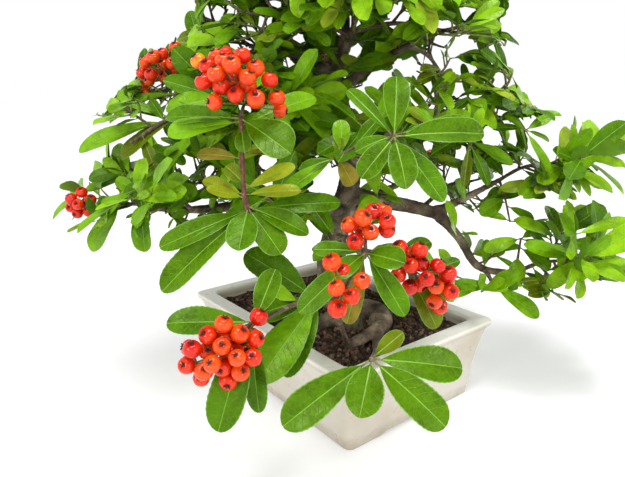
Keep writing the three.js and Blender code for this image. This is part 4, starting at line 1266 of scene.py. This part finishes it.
def bark_mesh():
    """Trunk, roots and boughs as one skin, with crumbly relief along its normals."""
    heap = Heap()
    for number, (name, limb) in enumerate(LIMBS.items()):
        rough_limb(heap, limb, name == "trunk", 40.0 * number)
    for number, root in enumerate(ROOTS.values()):
        rough_limb(heap, root, True, 900 + 40.0 * number)
    rough = scene_object("rough", heap.mesh("rough"))
    skin = rough.modifiers.new("skin", "REMESH")
    skin.mode, skin.voxel_size, skin.use_smooth_shade = "VOXEL", BARK_VOXEL * MM, True
    soften = rough.modifiers.new("soften", "SMOOTH")
    soften.factor, soften.iterations = 0.4, 2
    view = bpy.context.evaluated_depsgraph_get()
    made = bpy.data.meshes.new_from_object(rough.evaluated_get(view))
    bpy.data.objects.remove(rough)
    spots = np.empty(len(made.vertices) * 3)
    made.vertices.foreach_get("co", spots)
    normals = np.empty(len(made.vertices) * 3)
    made.vertices.foreach_get("normal", normals)
    spots, normals = spots.reshape(-1, 3) / MM, normals.reshape(-1, 3)
    depth = BARK_FINE * (noise_at(spots, 1.9) + 0.6 * noise_at(spots + 50, 1.1))
    spots += depth[:, None] * normals
    spots[:, 2] = np.maximum(spots[:, 2], SOIL_TOP - 3)
    made.vertices.foreach_set("co", (spots * MM).ravel())
    made.materials.clear()
    made.update()
    return made


# ---- Pot ----

# The profile of the pot as (inset from the rim's edge, height), from the middle of the underside
# round the outside to the middle of the floor.
FLOOR = 9
POT_PROFILE = [
    (30, 0), (FOOT_INSET + 0.7, 0), (FOOT_INSET, 0.8), (FOOT_INSET - 0.1, 6.6), (9.3, 9.6), (9.2, 14.5),
    (8.6, 24), (6.6, 35), (3.6, 48), (1.8, 52.4), (0.2, 53.4), (0, 56), (0.9, POT_HEIGHT),
    (RIM_WIDTH - 1, POT_HEIGHT), (RIM_WIDTH, 55.8), (RIM_WIDTH + 0.8, SOIL_TOP), (RIM_WIDTH + 2, 30),
    (RIM_WIDTH + 4, 12), (RIM_WIDTH + 6.5, FLOOR), (30, FLOOR),
]
ROUNDING = 2.2  # longest cut of a corner of the profile
CORNER_STEPS = 8
WALL_STEP = 4  # between the upright lines of points along a wall


def rounded(points, cut, steps):
    """The outline with each inner corner replaced by a short curve."""
    points = np.array(points, float)
    made = [points[:1]]
    t = np.linspace(0, 1, steps)[:, None]
    for before, corner, after in zip(points, points[1:], points[2:]):
        back, on = before - corner, after - corner
        start = corner + back * min(0.45, cut / np.linalg.norm(back))
        end = corner + on * min(0.45, cut / np.linalg.norm(on))
        made.append((1 - t) ** 2 * start + 2 * t * (1 - t) * corner + t**2 * end)
    return np.vstack(made + [points[-1:]])


def wall_marks():
    """Points round a rectangle with round corners, each as the signs of its corner, or a place
    between the signs of two corners, and its direction outwards."""
    rows = []
    for corner in range(4):
        sign = np.array([(1, 1), (-1, 1), (-1, -1), (1, -1)][corner], float)
        for step in range(CORNER_STEPS + 1):
            turn = (corner + step / CORNER_STEPS) * math.pi / 2
            rows.append((sign, np.array([math.cos(turn), math.sin(turn)])))
        following = np.array([(-1, 1), (-1, -1), (1, -1), (1, 1)][corner], float)
        length = POT_SHORT if corner % 2 == 0 else POT_LONG
        count = round(length / WALL_STEP)
        outward = rows[-1][1]
        for step in range(1, count):
            rows.append((sign + (following - sign) * step / count, outward))
    return rows


def wall_loop(inset, height, marks):
    """One level loop of points round the pot."""
    half = np.array([POT_SHORT / 2, POT_LONG / 2]) - inset - POT_CORNER
    points = [np.append(sign * half + POT_CORNER * outward, height) for sign, outward in marks]
    return np.array(points)


def arch_over(points, inset):
    """Lifts the underside between the corner feet."""
    if inset > FOOT_INSET + ARCH_DEPTH:
        return points
    half = np.array([POT_SHORT / 2, POT_LONG / 2]) - FOOT_INSET
    on_short = np.abs(points[:, 1]) / half[1] > np.abs(points[:, 0]) / half[0]
    run = np.where(on_short, np.abs(points[:, 0]) / half[0], np.abs(points[:, 1]) / half[1])
    length = np.where(on_short, half[0], half[1])
    rise = np.clip((ARCH_SHARE - run) * length / 6, 0, 1)
    points[:, 2] = np.maximum(points[:, 2], ARCH_HEIGHT * (1 - (1 - rise) ** 2))
    return points


def pot_mesh():
    marks = wall_marks()
    outline = rounded(POT_PROFILE, ROUNDING, 5)
    fine = [outline[0]]
    for start, end in zip(outline, outline[1:]):
        parts = max(1, math.ceil(np.linalg.norm(end - start) / WALL_STEP))
        fine += [start + (end - start) * part / parts for part in range(1, parts + 1)]
    loops = [arch_over(wall_loop(inset, height, marks), inset) for inset, height in fine]
    points = np.vstack(loops)
    out = np.where(points[:, 2] > 0.4, 1.0, 0.0)[:, None]
    sway = np.stack([
        noise_at(points + shift, 22) + 0.4 * noise_at(points + shift, 8) for shift in (0, 300)
    ], -1)
    points[:, :2] += 0.22 * sway * out
    points = np.vstack([points, [[0.0, 0.0, 0.0], [0.0, 0.0, FLOOR]]])
    heap = Heap()
    heap.add(points, sheet_quads(len(fine), len(marks), True), 0, end_fans(len(fine), len(marks)))
    return heap.mesh("pot_glazed")


# ---- Soil ----

SOIL_STEP = 2.2
CRUMBS = 2600
CRUMB_SIZE = (0.7, 2.6)
LONG_CRUMBS = 0.12  # of the crumbs are bits of bark
CRUMB_TURN = 6.28  # at most, in radians
SOIL_SEED = 77
SOIL_CORE, SOIL_DARK, SOIL_BROWN, SOIL_PALE = range(4)


def soil_height(x, y):
    spots = np.stack([x, y, 0 * x], -1).reshape(-1, 3)
    return (SOIL_TOP - 0.6 + 1.3 * noise_at(spots, 16) + 0.5 * noise_at(spots, 5)).reshape(np.shape(x))


def soil_mesh():
    """A crumbly heap: an uneven top over the pot's inside, and loose crumbs and bits of bark on it."""
    random = np.random.default_rng(SOIL_SEED)
    half = np.array([POT_SHORT, POT_LONG]) / 2 - RIM_WIDTH - 0.9
    columns, rows = (2 * half / SOIL_STEP).astype(int)
    x, y = np.meshgrid(np.linspace(-half[0], half[0], columns), np.linspace(-half[1], half[1], rows))
    top = np.stack([x, y, soil_height(x, y)], -1).reshape(-1, 3)
    heap = Heap()
    heap.add(top, sheet_quads(rows, columns, False), SOIL_CORE)
    shape = bmesh.new()
    bmesh.ops.create_icosphere(shape, subdivisions=1, radius=1)
    corners = np.array([v.co[:] for v in shape.verts])
    faces = np.array([[v.index for v in f.verts] for f in shape.faces])
    shape.free()
    for _ in range(CRUMBS):
        spot = (2 * random.random(2) - 1) * (half - 1.5)
        size = between(random, CRUMB_SIZE) * (0.6 + 0.4 * random.random(3))
        if random.random() < LONG_CRUMBS:
            size = size * (0.5, 2.2, 0.5)
        spin = CRUMB_TURN * random.random()
        turn = Matrix.Rotation(spin, 3, Vector(random.random(3) - 0.5).normalized())
        shaped = corners * size * (0.75 + 0.5 * random.random((len(corners), 1)))
        shaped = shaped @ np.array(turn)
        height = soil_height(*spot) + 0.3 * size.min()
        tone = random.choice([SOIL_DARK, SOIL_BROWN, SOIL_PALE], p=[0.5, 0.38, 0.12])
        heap.add(shaped + (*spot, float(height)), np.zeros((0, 4), int), tone, faces)
    return heap.mesh("soil_crumbs")


# ---- Finishes ----


def srgb(red, green, blue):
    """A display colour, 0 to 255, as the linear colour that a shader takes."""
    shares = (red / 255, green / 255, blue / 255)
    return tuple(((c + 0.055) / 1.055) ** 2.4 if c > 10 / 255 else c / 12.92 for c in shares)


# The sockets of a Mix node that hold colours.
MIX_SHARE, MIX_FIRST, MIX_SECOND, MIX_RESULT = 0, 6, 7, 2


class Finish:
    """A node material that is built up from a few steps."""

    def __init__(self, name, rough, **fixed):
        self.material = bpy.data.materials.new(name)
        self.material.use_nodes = True
        self.nodes, self.links = self.material.node_tree.nodes, self.material.node_tree.links
        self.shader = self.nodes["Principled BSDF"]
        self.shader.inputs["Roughness"].default_value = rough
        for socket, value in fixed.items():
            self.shader.inputs[socket.replace("_", " ")].default_value = value
        self.spot = self.nodes.new("ShaderNodeTexCoord").outputs["Object"]

    def node(self, kind, inputs=(), **settings):
        made = self.nodes.new(kind)
        for key, value in settings.items():
            setattr(made, key, value)
        for socket, value in dict(inputs).items():
            if isinstance(value, bpy.types.NodeSocket):
                self.links.new(value, made.inputs[socket])
            else:
                made.inputs[socket].default_value = value
        return made

    def noise(self, size, detail=3, source=None, stretch=None):
        """Noise with patches of about size millimetres; stretch scales it along each axis."""
        source = source or self.spot
        if stretch:
            source = self.node("ShaderNodeMapping", {"Vector": source, "Scale": stretch}).outputs[0]
        inputs = {"Vector": source, "Scale": 1 / (size * MM), "Detail": detail}
        return self.node("ShaderNodeTexNoise", inputs).outputs["Fac"]

    def net(self, size):
        """The lines of a net whose meshes are about size millimetres wide."""
        inputs = {"Vector": self.spot, "Scale": 1 / (size * MM)}
        made = self.node("ShaderNodeTexVoronoi", inputs, feature="DISTANCE_TO_EDGE")
        return self.level(made.outputs["Distance"], 0.12, 0.02)

    def ramp(self, source, stops):
        """Colours at places from 0 to 1."""
        made = self.node("ShaderNodeValToRGB", {"Fac": source})
        band = made.color_ramp
        while len(band.elements) < len(stops):
            band.elements.new(0.5)
        for element, (at, colour) in zip(band.elements, stops):
            element.position, element.color = at, (*colour, 1)
        return made.outputs["Color"]

    def level(self, source, low, high, to_low=0.0, to_high=1.0):
        inputs = {"Value": source, "From Min": low, "From Max": high, "To Min": to_low, "To Max": to_high}
        return self.node("ShaderNodeMapRange", inputs).outputs["Result"]

    def blend(self, share, first, second):
        """A mix of two colours, all of the second where the share is 1."""
        inputs = {MIX_SHARE: share}
        for socket, value in ((MIX_FIRST, first), (MIX_SECOND, second)):
            inputs[socket] = value if isinstance(value, bpy.types.NodeSocket) else (*value, 1)
        return self.node("ShaderNodeMix", inputs, data_type="RGBA").outputs[MIX_RESULT]

    def colour(self, source):
        self.links.new(source, self.shader.inputs["Base Color"])

    def roughness(self, source):
        self.links.new(source, self.shader.inputs["Roughness"])

    def bump(self, source, height, strength=1.0):
        """Relief of a height in millimetres."""
        inputs = {"Height": source, "Distance": height * MM, "Strength": strength}
        last = self.shader.inputs["Normal"]
        if last.links:
            inputs["Normal"] = last.links[0].from_socket
        self.links.new(self.node("ShaderNodeBump", inputs).outputs[0], last)

    def maths(self, operation, first, second=0.0):
        return self.node("ShaderNodeMath", {0: first, 1: second}, operation=operation).outputs[0]


def shade(colour, factor):
    return tuple(min(1, c * factor) for c in colour)


LEAF_COLOURS = {
    "bright": srgb(130, 178, 16), "mid": srgb(106, 156, 12), "deep": srgb(72, 116, 4),
    "dark": srgb(52, 94, 8), "olive": srgb(98, 112, 14), "young": srgb(156, 180, 44),
    "yellow": srgb(142, 150, 24), "brown": srgb(138, 118, 40), "rich": srgb(70, 110, 0),
}


def vein_lines(finish):
    """Side veins that run from the midrib to the margin, from 0 to 1, by the blade's own marks."""
    marks = finish.node("ShaderNodeTexCoord").outputs["UV"]
    split = finish.node("ShaderNodeSeparateXYZ", {0: marks})
    waver = finish.level(finish.noise(5, 2), 0, 1, -0.12, 0.12)
    out = finish.maths("MULTIPLY", finish.maths("ABSOLUTE", split.outputs[0]), 0.75)
    run = finish.maths("SUBTRACT", finish.maths("ADD", split.outputs[1], waver), out)
    wave = finish.maths("FRACT", finish.maths("MULTIPLY", run, 2.6))
    apart = finish.maths("ABSOLUTE", finish.maths("SUBTRACT", wave, 0.5))
    return finish.level(apart, 0.06, 0.0)


def leaf_finish(name, colour):
    finish = Finish("leaf_" + name, 0.34, Specular_IOR_Level=0.22, Specular_Tint=(0.84, 1, 0.5, 1))
    patches = finish.maths("ADD", finish.noise(9), finish.level(finish.noise(1.8), 0, 1, -0.12, 0.12))
    mottled = finish.ramp(patches, [(0.28, shade(colour, 0.6)), (0.52, colour), (0.74, shade(colour, 1.25))])
    veins = vein_lines(finish)
    pale = tuple(0.62 * c + 0.38 * p for c, p in zip(colour, srgb(150, 188, 30)))
    lines = finish.maths("MAXIMUM", veins, finish.maths("MULTIPLY", finish.net(2.6), 0.6))
    finish.colour(finish.blend(finish.maths("MULTIPLY", lines, 0.34), mottled, pale))
    finish.roughness(finish.level(finish.noise(4), 0.3, 0.7, 0.2, 0.4))
    finish.bump(veins, 0.1)
    finish.bump(finish.noise(1.6, 4), 0.16)
    finish.bump(finish.noise(6), 0.34)
    return finish.material


def underside_finish():
    finish = Finish("leaf_underside", 0.55, Specular_IOR_Level=0.12)
    pale = srgb(106, 146, 40)
    veins = vein_lines(finish)
    mottled = finish.ramp(finish.noise(7), [(0.3, shade(pale, 0.85)), (0.7, shade(pale, 1.12))])
    finish.colour(finish.blend(finish.maths("MULTIPLY", veins, 0.45), mottled, shade(pale, 1.35)))
    finish.bump(veins, 0.1)
    return finish.material


def thin_finish(name, colour, rough):
    """A plain tone with fine mottling, for ribs and edges."""
    finish = Finish(name, rough)
    finish.colour(finish.ramp(finish.noise(3), [(0.3, shade(colour, 0.82)), (0.7, shade(colour, 1.15))]))
    finish.bump(finish.noise(0.8), 0.05)
    return finish.material


def twig_finish(name, colour, pale):
    finish = Finish(name, 0.75)
    patches = finish.noise(2.4, 4)
    finish.colour(finish.ramp(patches, [(0.3, shade(colour, 0.6)), (0.52, colour), (0.7, pale)]))
    finish.bump(finish.noise(0.7, 4), 0.25)
    return finish.material


def bark_finish():
    finish = Finish("bark", 0.88)
    patches = finish.noise(11, 6)
    base = finish.ramp(patches, [
        (0.3, srgb(50, 40, 32)), (0.44, srgb(92, 77, 62)), (0.58, srgb(132, 115, 94)),
        (0.7, srgb(170, 156, 132)),
    ])
    crumbs = finish.noise(1.6, 5)
    dark = finish.level(crumbs, 0.42, 0.3, 0.0, 0.75)
    moss = finish.level(finish.noise(26, 3), 0.56, 0.7, 0.0, 0.35)
    base = finish.blend(moss, base, srgb(84, 92, 44))
    finish.colour(finish.blend(dark, base, srgb(20, 16, 14)))
    finish.bump(crumbs, 0.7)
    finish.bump(finish.noise(0.5, 3), 0.2)
    return finish.material


def berry_finish(name, colour):
    finish = Finish("berry_" + name, 0.3, Coat_Weight=0.85, Coat_Roughness=0.04, Specular_IOR_Level=0)
    marks = finish.node("ShaderNodeTexCoord").outputs["UV"]
    split = finish.node("ShaderNodeSeparateXYZ", {0: marks})
    # painted shade and light along each berry: deeper red at the stalk end, which faces down and back, and
    # round the calyx dimple; a band of painted light, paler orange, towards the calyx end, which faces up
    deep = (0.72 * colour[0], 0.55 * colour[1], 0.6 * colour[2])
    warm = (min(1, colour[0] * 1.06), colour[1] * 1.8 + 0.012, colour[2] * 1.2)
    waver = finish.level(finish.noise(3.4, 3), 0.3, 0.7, -0.14, 0.14)
    own = finish.level(split.outputs[0], 0, 1, -0.1, 0.1)
    spot = finish.maths("ADD", finish.maths("ADD", split.outputs[1], waver), own)
    finish.colour(finish.ramp(spot, [(0.05, deep), (0.4, colour), (0.72, warm), (0.9, colour), (0.99, deep)]))
    finish.bump(finish.noise(0.9, 2), 0.03)
    return finish.material


def star_finish():
    finish = Finish("dry_calyx", 0.8)
    finish.colour(finish.ramp(finish.noise(0.6), [(0.4, srgb(24, 18, 14)), (0.7, srgb(66, 50, 34))]))
    finish.bump(finish.noise(0.4), 0.2)
    return finish.material


LIP_HEIGHT = 52.2  # of the line under the rim where a painted shadow runs


def glaze_finish():
    """Cream glaze with painted shade that makes it greyer and browner in the waist under the rim and towards
    the foot, and painted light that makes the top of the rim paler.
    """
    finish = Finish("cream_glaze", 0.3, Coat_Weight=0.35, Coat_Roughness=0.12)
    height = finish.node("ShaderNodeSeparateXYZ", {0: finish.spot}).outputs[2]
    cream, warm, painted_shade_tone = srgb(203, 197, 183), srgb(192, 182, 163), srgb(140, 122, 98)
    clouds = finish.ramp(finish.noise(34, 3), [(0.35, warm), (0.6, cream)])
    # painted shade: darker towards the foot, where the recess under the body lies in shade
    low = finish.level(height, 0.011, 0.001, 0.0, 0.5)
    # painted shadow in a narrow band under the rim's lip
    off_lip = finish.maths("ABSOLUTE", finish.maths("SUBTRACT", height, LIP_HEIGHT * MM))
    lip = finish.level(off_lip, 0.0016, 0.0, 0.0, 0.45)
    uneven = finish.level(finish.noise(12), 0.3, 0.7, 0.5, 1.2)
    painted_shade_mask = finish.maths("MULTIPLY", finish.maths("MAXIMUM", low, lip), uneven)
    # painted light: the top of the rim is paler, standing in for light that the crown keeps off it
    painted_rim_light = finish.level(height, 0.0545, 0.0565)
    clouds = finish.blend(painted_rim_light, clouds, srgb(234, 230, 220))
    # the painted shade laid over the glaze's own clouded tone
    finish.colour(finish.blend(painted_shade_mask, clouds, painted_shade_tone))
    finish.roughness(finish.level(finish.noise(9), 0.3, 0.7, 0.26, 0.34))
    finish.bump(finish.noise(18, 1), 0.14)
    return finish.material


def soil_finish(name, colour):
    finish = Finish("soil_" + name, 0.95)
    finish.colour(finish.ramp(finish.noise(1.5, 5), [(0.35, shade(colour, 0.5)), (0.6, colour)]))
    finish.bump(finish.noise(0.7, 5), 0.6)
    return finish.material


# ---- Stage, light and camera ----

WALL_RISE = (0.45, 0.85)  # how high the walls are full bright, and where the ceiling begins
CEILING = 0.3
FLOOR_GLOW = 0.32  # keeps the shadows on the floor faint
TREE_MIDDLE = (0, 0, 0.17)
BROAD_LIGHT = 1.5
BROAD_ANGLE = 30
BROAD_HEADING = (0.1, 0.28, -1)
SOFT_BOXES = (
    ("left_box", (-0.9, -1.1, 0.7), (0.25, 0.25), 4.5),
    ("right_box", (0.9, -1.2, 0.6), (0.25, 0.25), 4.5),
    ("top_box", (0.22, -0.3, 1.3), (0.44, 0.2), 5.5),
)


def make_camera():
    data = bpy.data.cameras.new("camera")
    data.sensor_width = SENSOR_WIDTH
    data.lens = FOCAL_PIXELS * SENSOR_WIDTH / PICTURE[0]
    data.clip_start = 0.01
    made = scene_object("camera", data)
    right, top, ahead = CAMERA_AXES
    columns = np.stack([right, top, -ahead, np.array(CAMERA_SPOT)], -1)
    made.matrix_world = Matrix([*columns.tolist(), [0, 0, 0, 1]])
    bpy.context.scene.camera = made


def make_floor():
    """A pale floor that runs far out, so that its edge meets the pale surroundings."""
    steps = np.linspace(0, 2 * math.pi, 65)[:-1]
    rings = [np.stack([r * np.cos(steps), r * np.sin(steps), 0 * steps], -1) for r in (0.2, 0.6, 2, 6, 20)]
    points = np.vstack([*rings, [[0, 0, 0]]])
    quads = sheet_quads(len(rings), len(steps), True)
    first = np.arange(len(steps))
    centre = np.stack([np.full(len(steps), len(points) - 1), first, (first + 1) % len(steps)], -1)
    mesh = bpy.data.meshes.new("floor")
    mesh.from_pydata(points.tolist(), [], quads.tolist() + centre.tolist())
    floor = scene_object("floor", mesh)
    finish = Finish("pale_floor", 0.9, Emission_Color=(1, 1, 1, 1), Emission_Strength=FLOOR_GLOW)
    finish.colour(finish.ramp(finish.noise(200), [(0.4, srgb(218, 218, 218)), (0.6, srgb(220, 220, 220))]))
    mesh.materials.append(finish.material)


def make_light(name, spot, size, power):
    """A soft box that points at the middle of the tree."""
    data = bpy.data.lights.new(name, "AREA")
    data.shape, data.size, data.size_y, data.energy = "RECTANGLE", size[0], size[1], power
    made = scene_object(name, data)
    made.location = spot
    made.rotation_euler = (Vector(TREE_MIDDLE) - Vector(spot)).to_track_quat("-Z", "Y").to_euler()


def light_scene():
    """A white room whose walls are brighter than its ceiling, a broad soft light and two soft boxes."""
    world = bpy.data.worlds.new("pale_room")
    world.use_nodes = True
    nodes, links = world.node_tree.nodes, world.node_tree.links
    height = nodes.new("ShaderNodeSeparateXYZ")
    links.new(nodes.new("ShaderNodeTexCoord").outputs["Generated"], height.inputs[0])
    dim = nodes.new("ShaderNodeMapRange")
    links.new(height.outputs[2], dim.inputs["Value"])
    for socket, value in zip(("From Min", "From Max", "To Min", "To Max"), (*WALL_RISE, 1, CEILING)):
        dim.inputs[socket].default_value = value
    links.new(dim.outputs["Result"], nodes["Background"].inputs["Strength"])
    nodes["Background"].inputs["Color"].default_value = (1, 1, 1, 1)
    bpy.context.scene.world = world
    data = bpy.data.lights.new("broad_light", "SUN")
    data.energy, data.angle = BROAD_LIGHT, math.radians(BROAD_ANGLE)
    broad = scene_object("broad_light", data)
    broad.rotation_euler = Vector(place(*BROAD_HEADING)).to_track_quat("-Z", "Y").to_euler()
    for name, spot, size, power in SOFT_BOXES:
        make_light(name, tuple(place(*spot)), size, power)
    bpy.context.scene.view_settings.view_transform = "Standard"


# ---- Assembly ----


def dress_plant():
    grow_crown()
    finishes = [leaf_finish(name, LEAF_COLOURS[name]) for name in TINTS]
    finishes += [
        thin_finish("leaf_rib", srgb(116, 166, 30), 0.45), thin_finish("leaf_edge", srgb(100, 150, 36), 0.4),
        underside_finish(),
    ]
    for region, heap in crown.leaves.items():
        nodes = [mass["name"] for mass in MASSES[region]]
        piece("leaves_" + region, heap.mesh("leaves_" + region), finishes, nodes)
    twig_finishes = [
        twig_finish("twig_brown", srgb(98, 80, 64), srgb(142, 126, 106)),
        twig_finish("twig_green", srgb(120, 128, 62), srgb(150, 158, 92)),
        twig_finish("twig_red", srgb(104, 62, 44), srgb(146, 108, 84)),
    ]
    piece("twigs", crown.twigs.mesh("twigs"), twig_finishes, ())
    berry_colours = {
        "scarlet": srgb(214, 30, 4), "orange_red": srgb(222, 54, 4), "orange": srgb(232, 114, 14),
        "crimson": srgb(198, 16, 8),
    }
    berry_finishes = [berry_finish(name, berry_colours[name]) for name in BERRY_TINTS]
    piece("berries", crown.berries.mesh("berries"), berry_finishes, ())
    piece("berry_stars", crown.stars.mesh("berry_stars"), [star_finish()], ())
    piece("bark_limbs", bark_mesh(), [bark_finish()], list(LIMBS))


def dress_pot():
    piece("pot_glazed", pot_mesh(), [glaze_finish()], ["pot"])
    tones = {
        "core": srgb(62, 45, 36), "dark": srgb(74, 54, 43), "brown": srgb(116, 86, 66),
        "pale": srgb(150, 122, 98),
    }
    piece("soil_crumbs", soil_mesh(), [soil_finish(*tone) for tone in tones.items()], ["soil"])


make_camera()
make_floor()
light_scene()
dress_pot()
dress_plant()
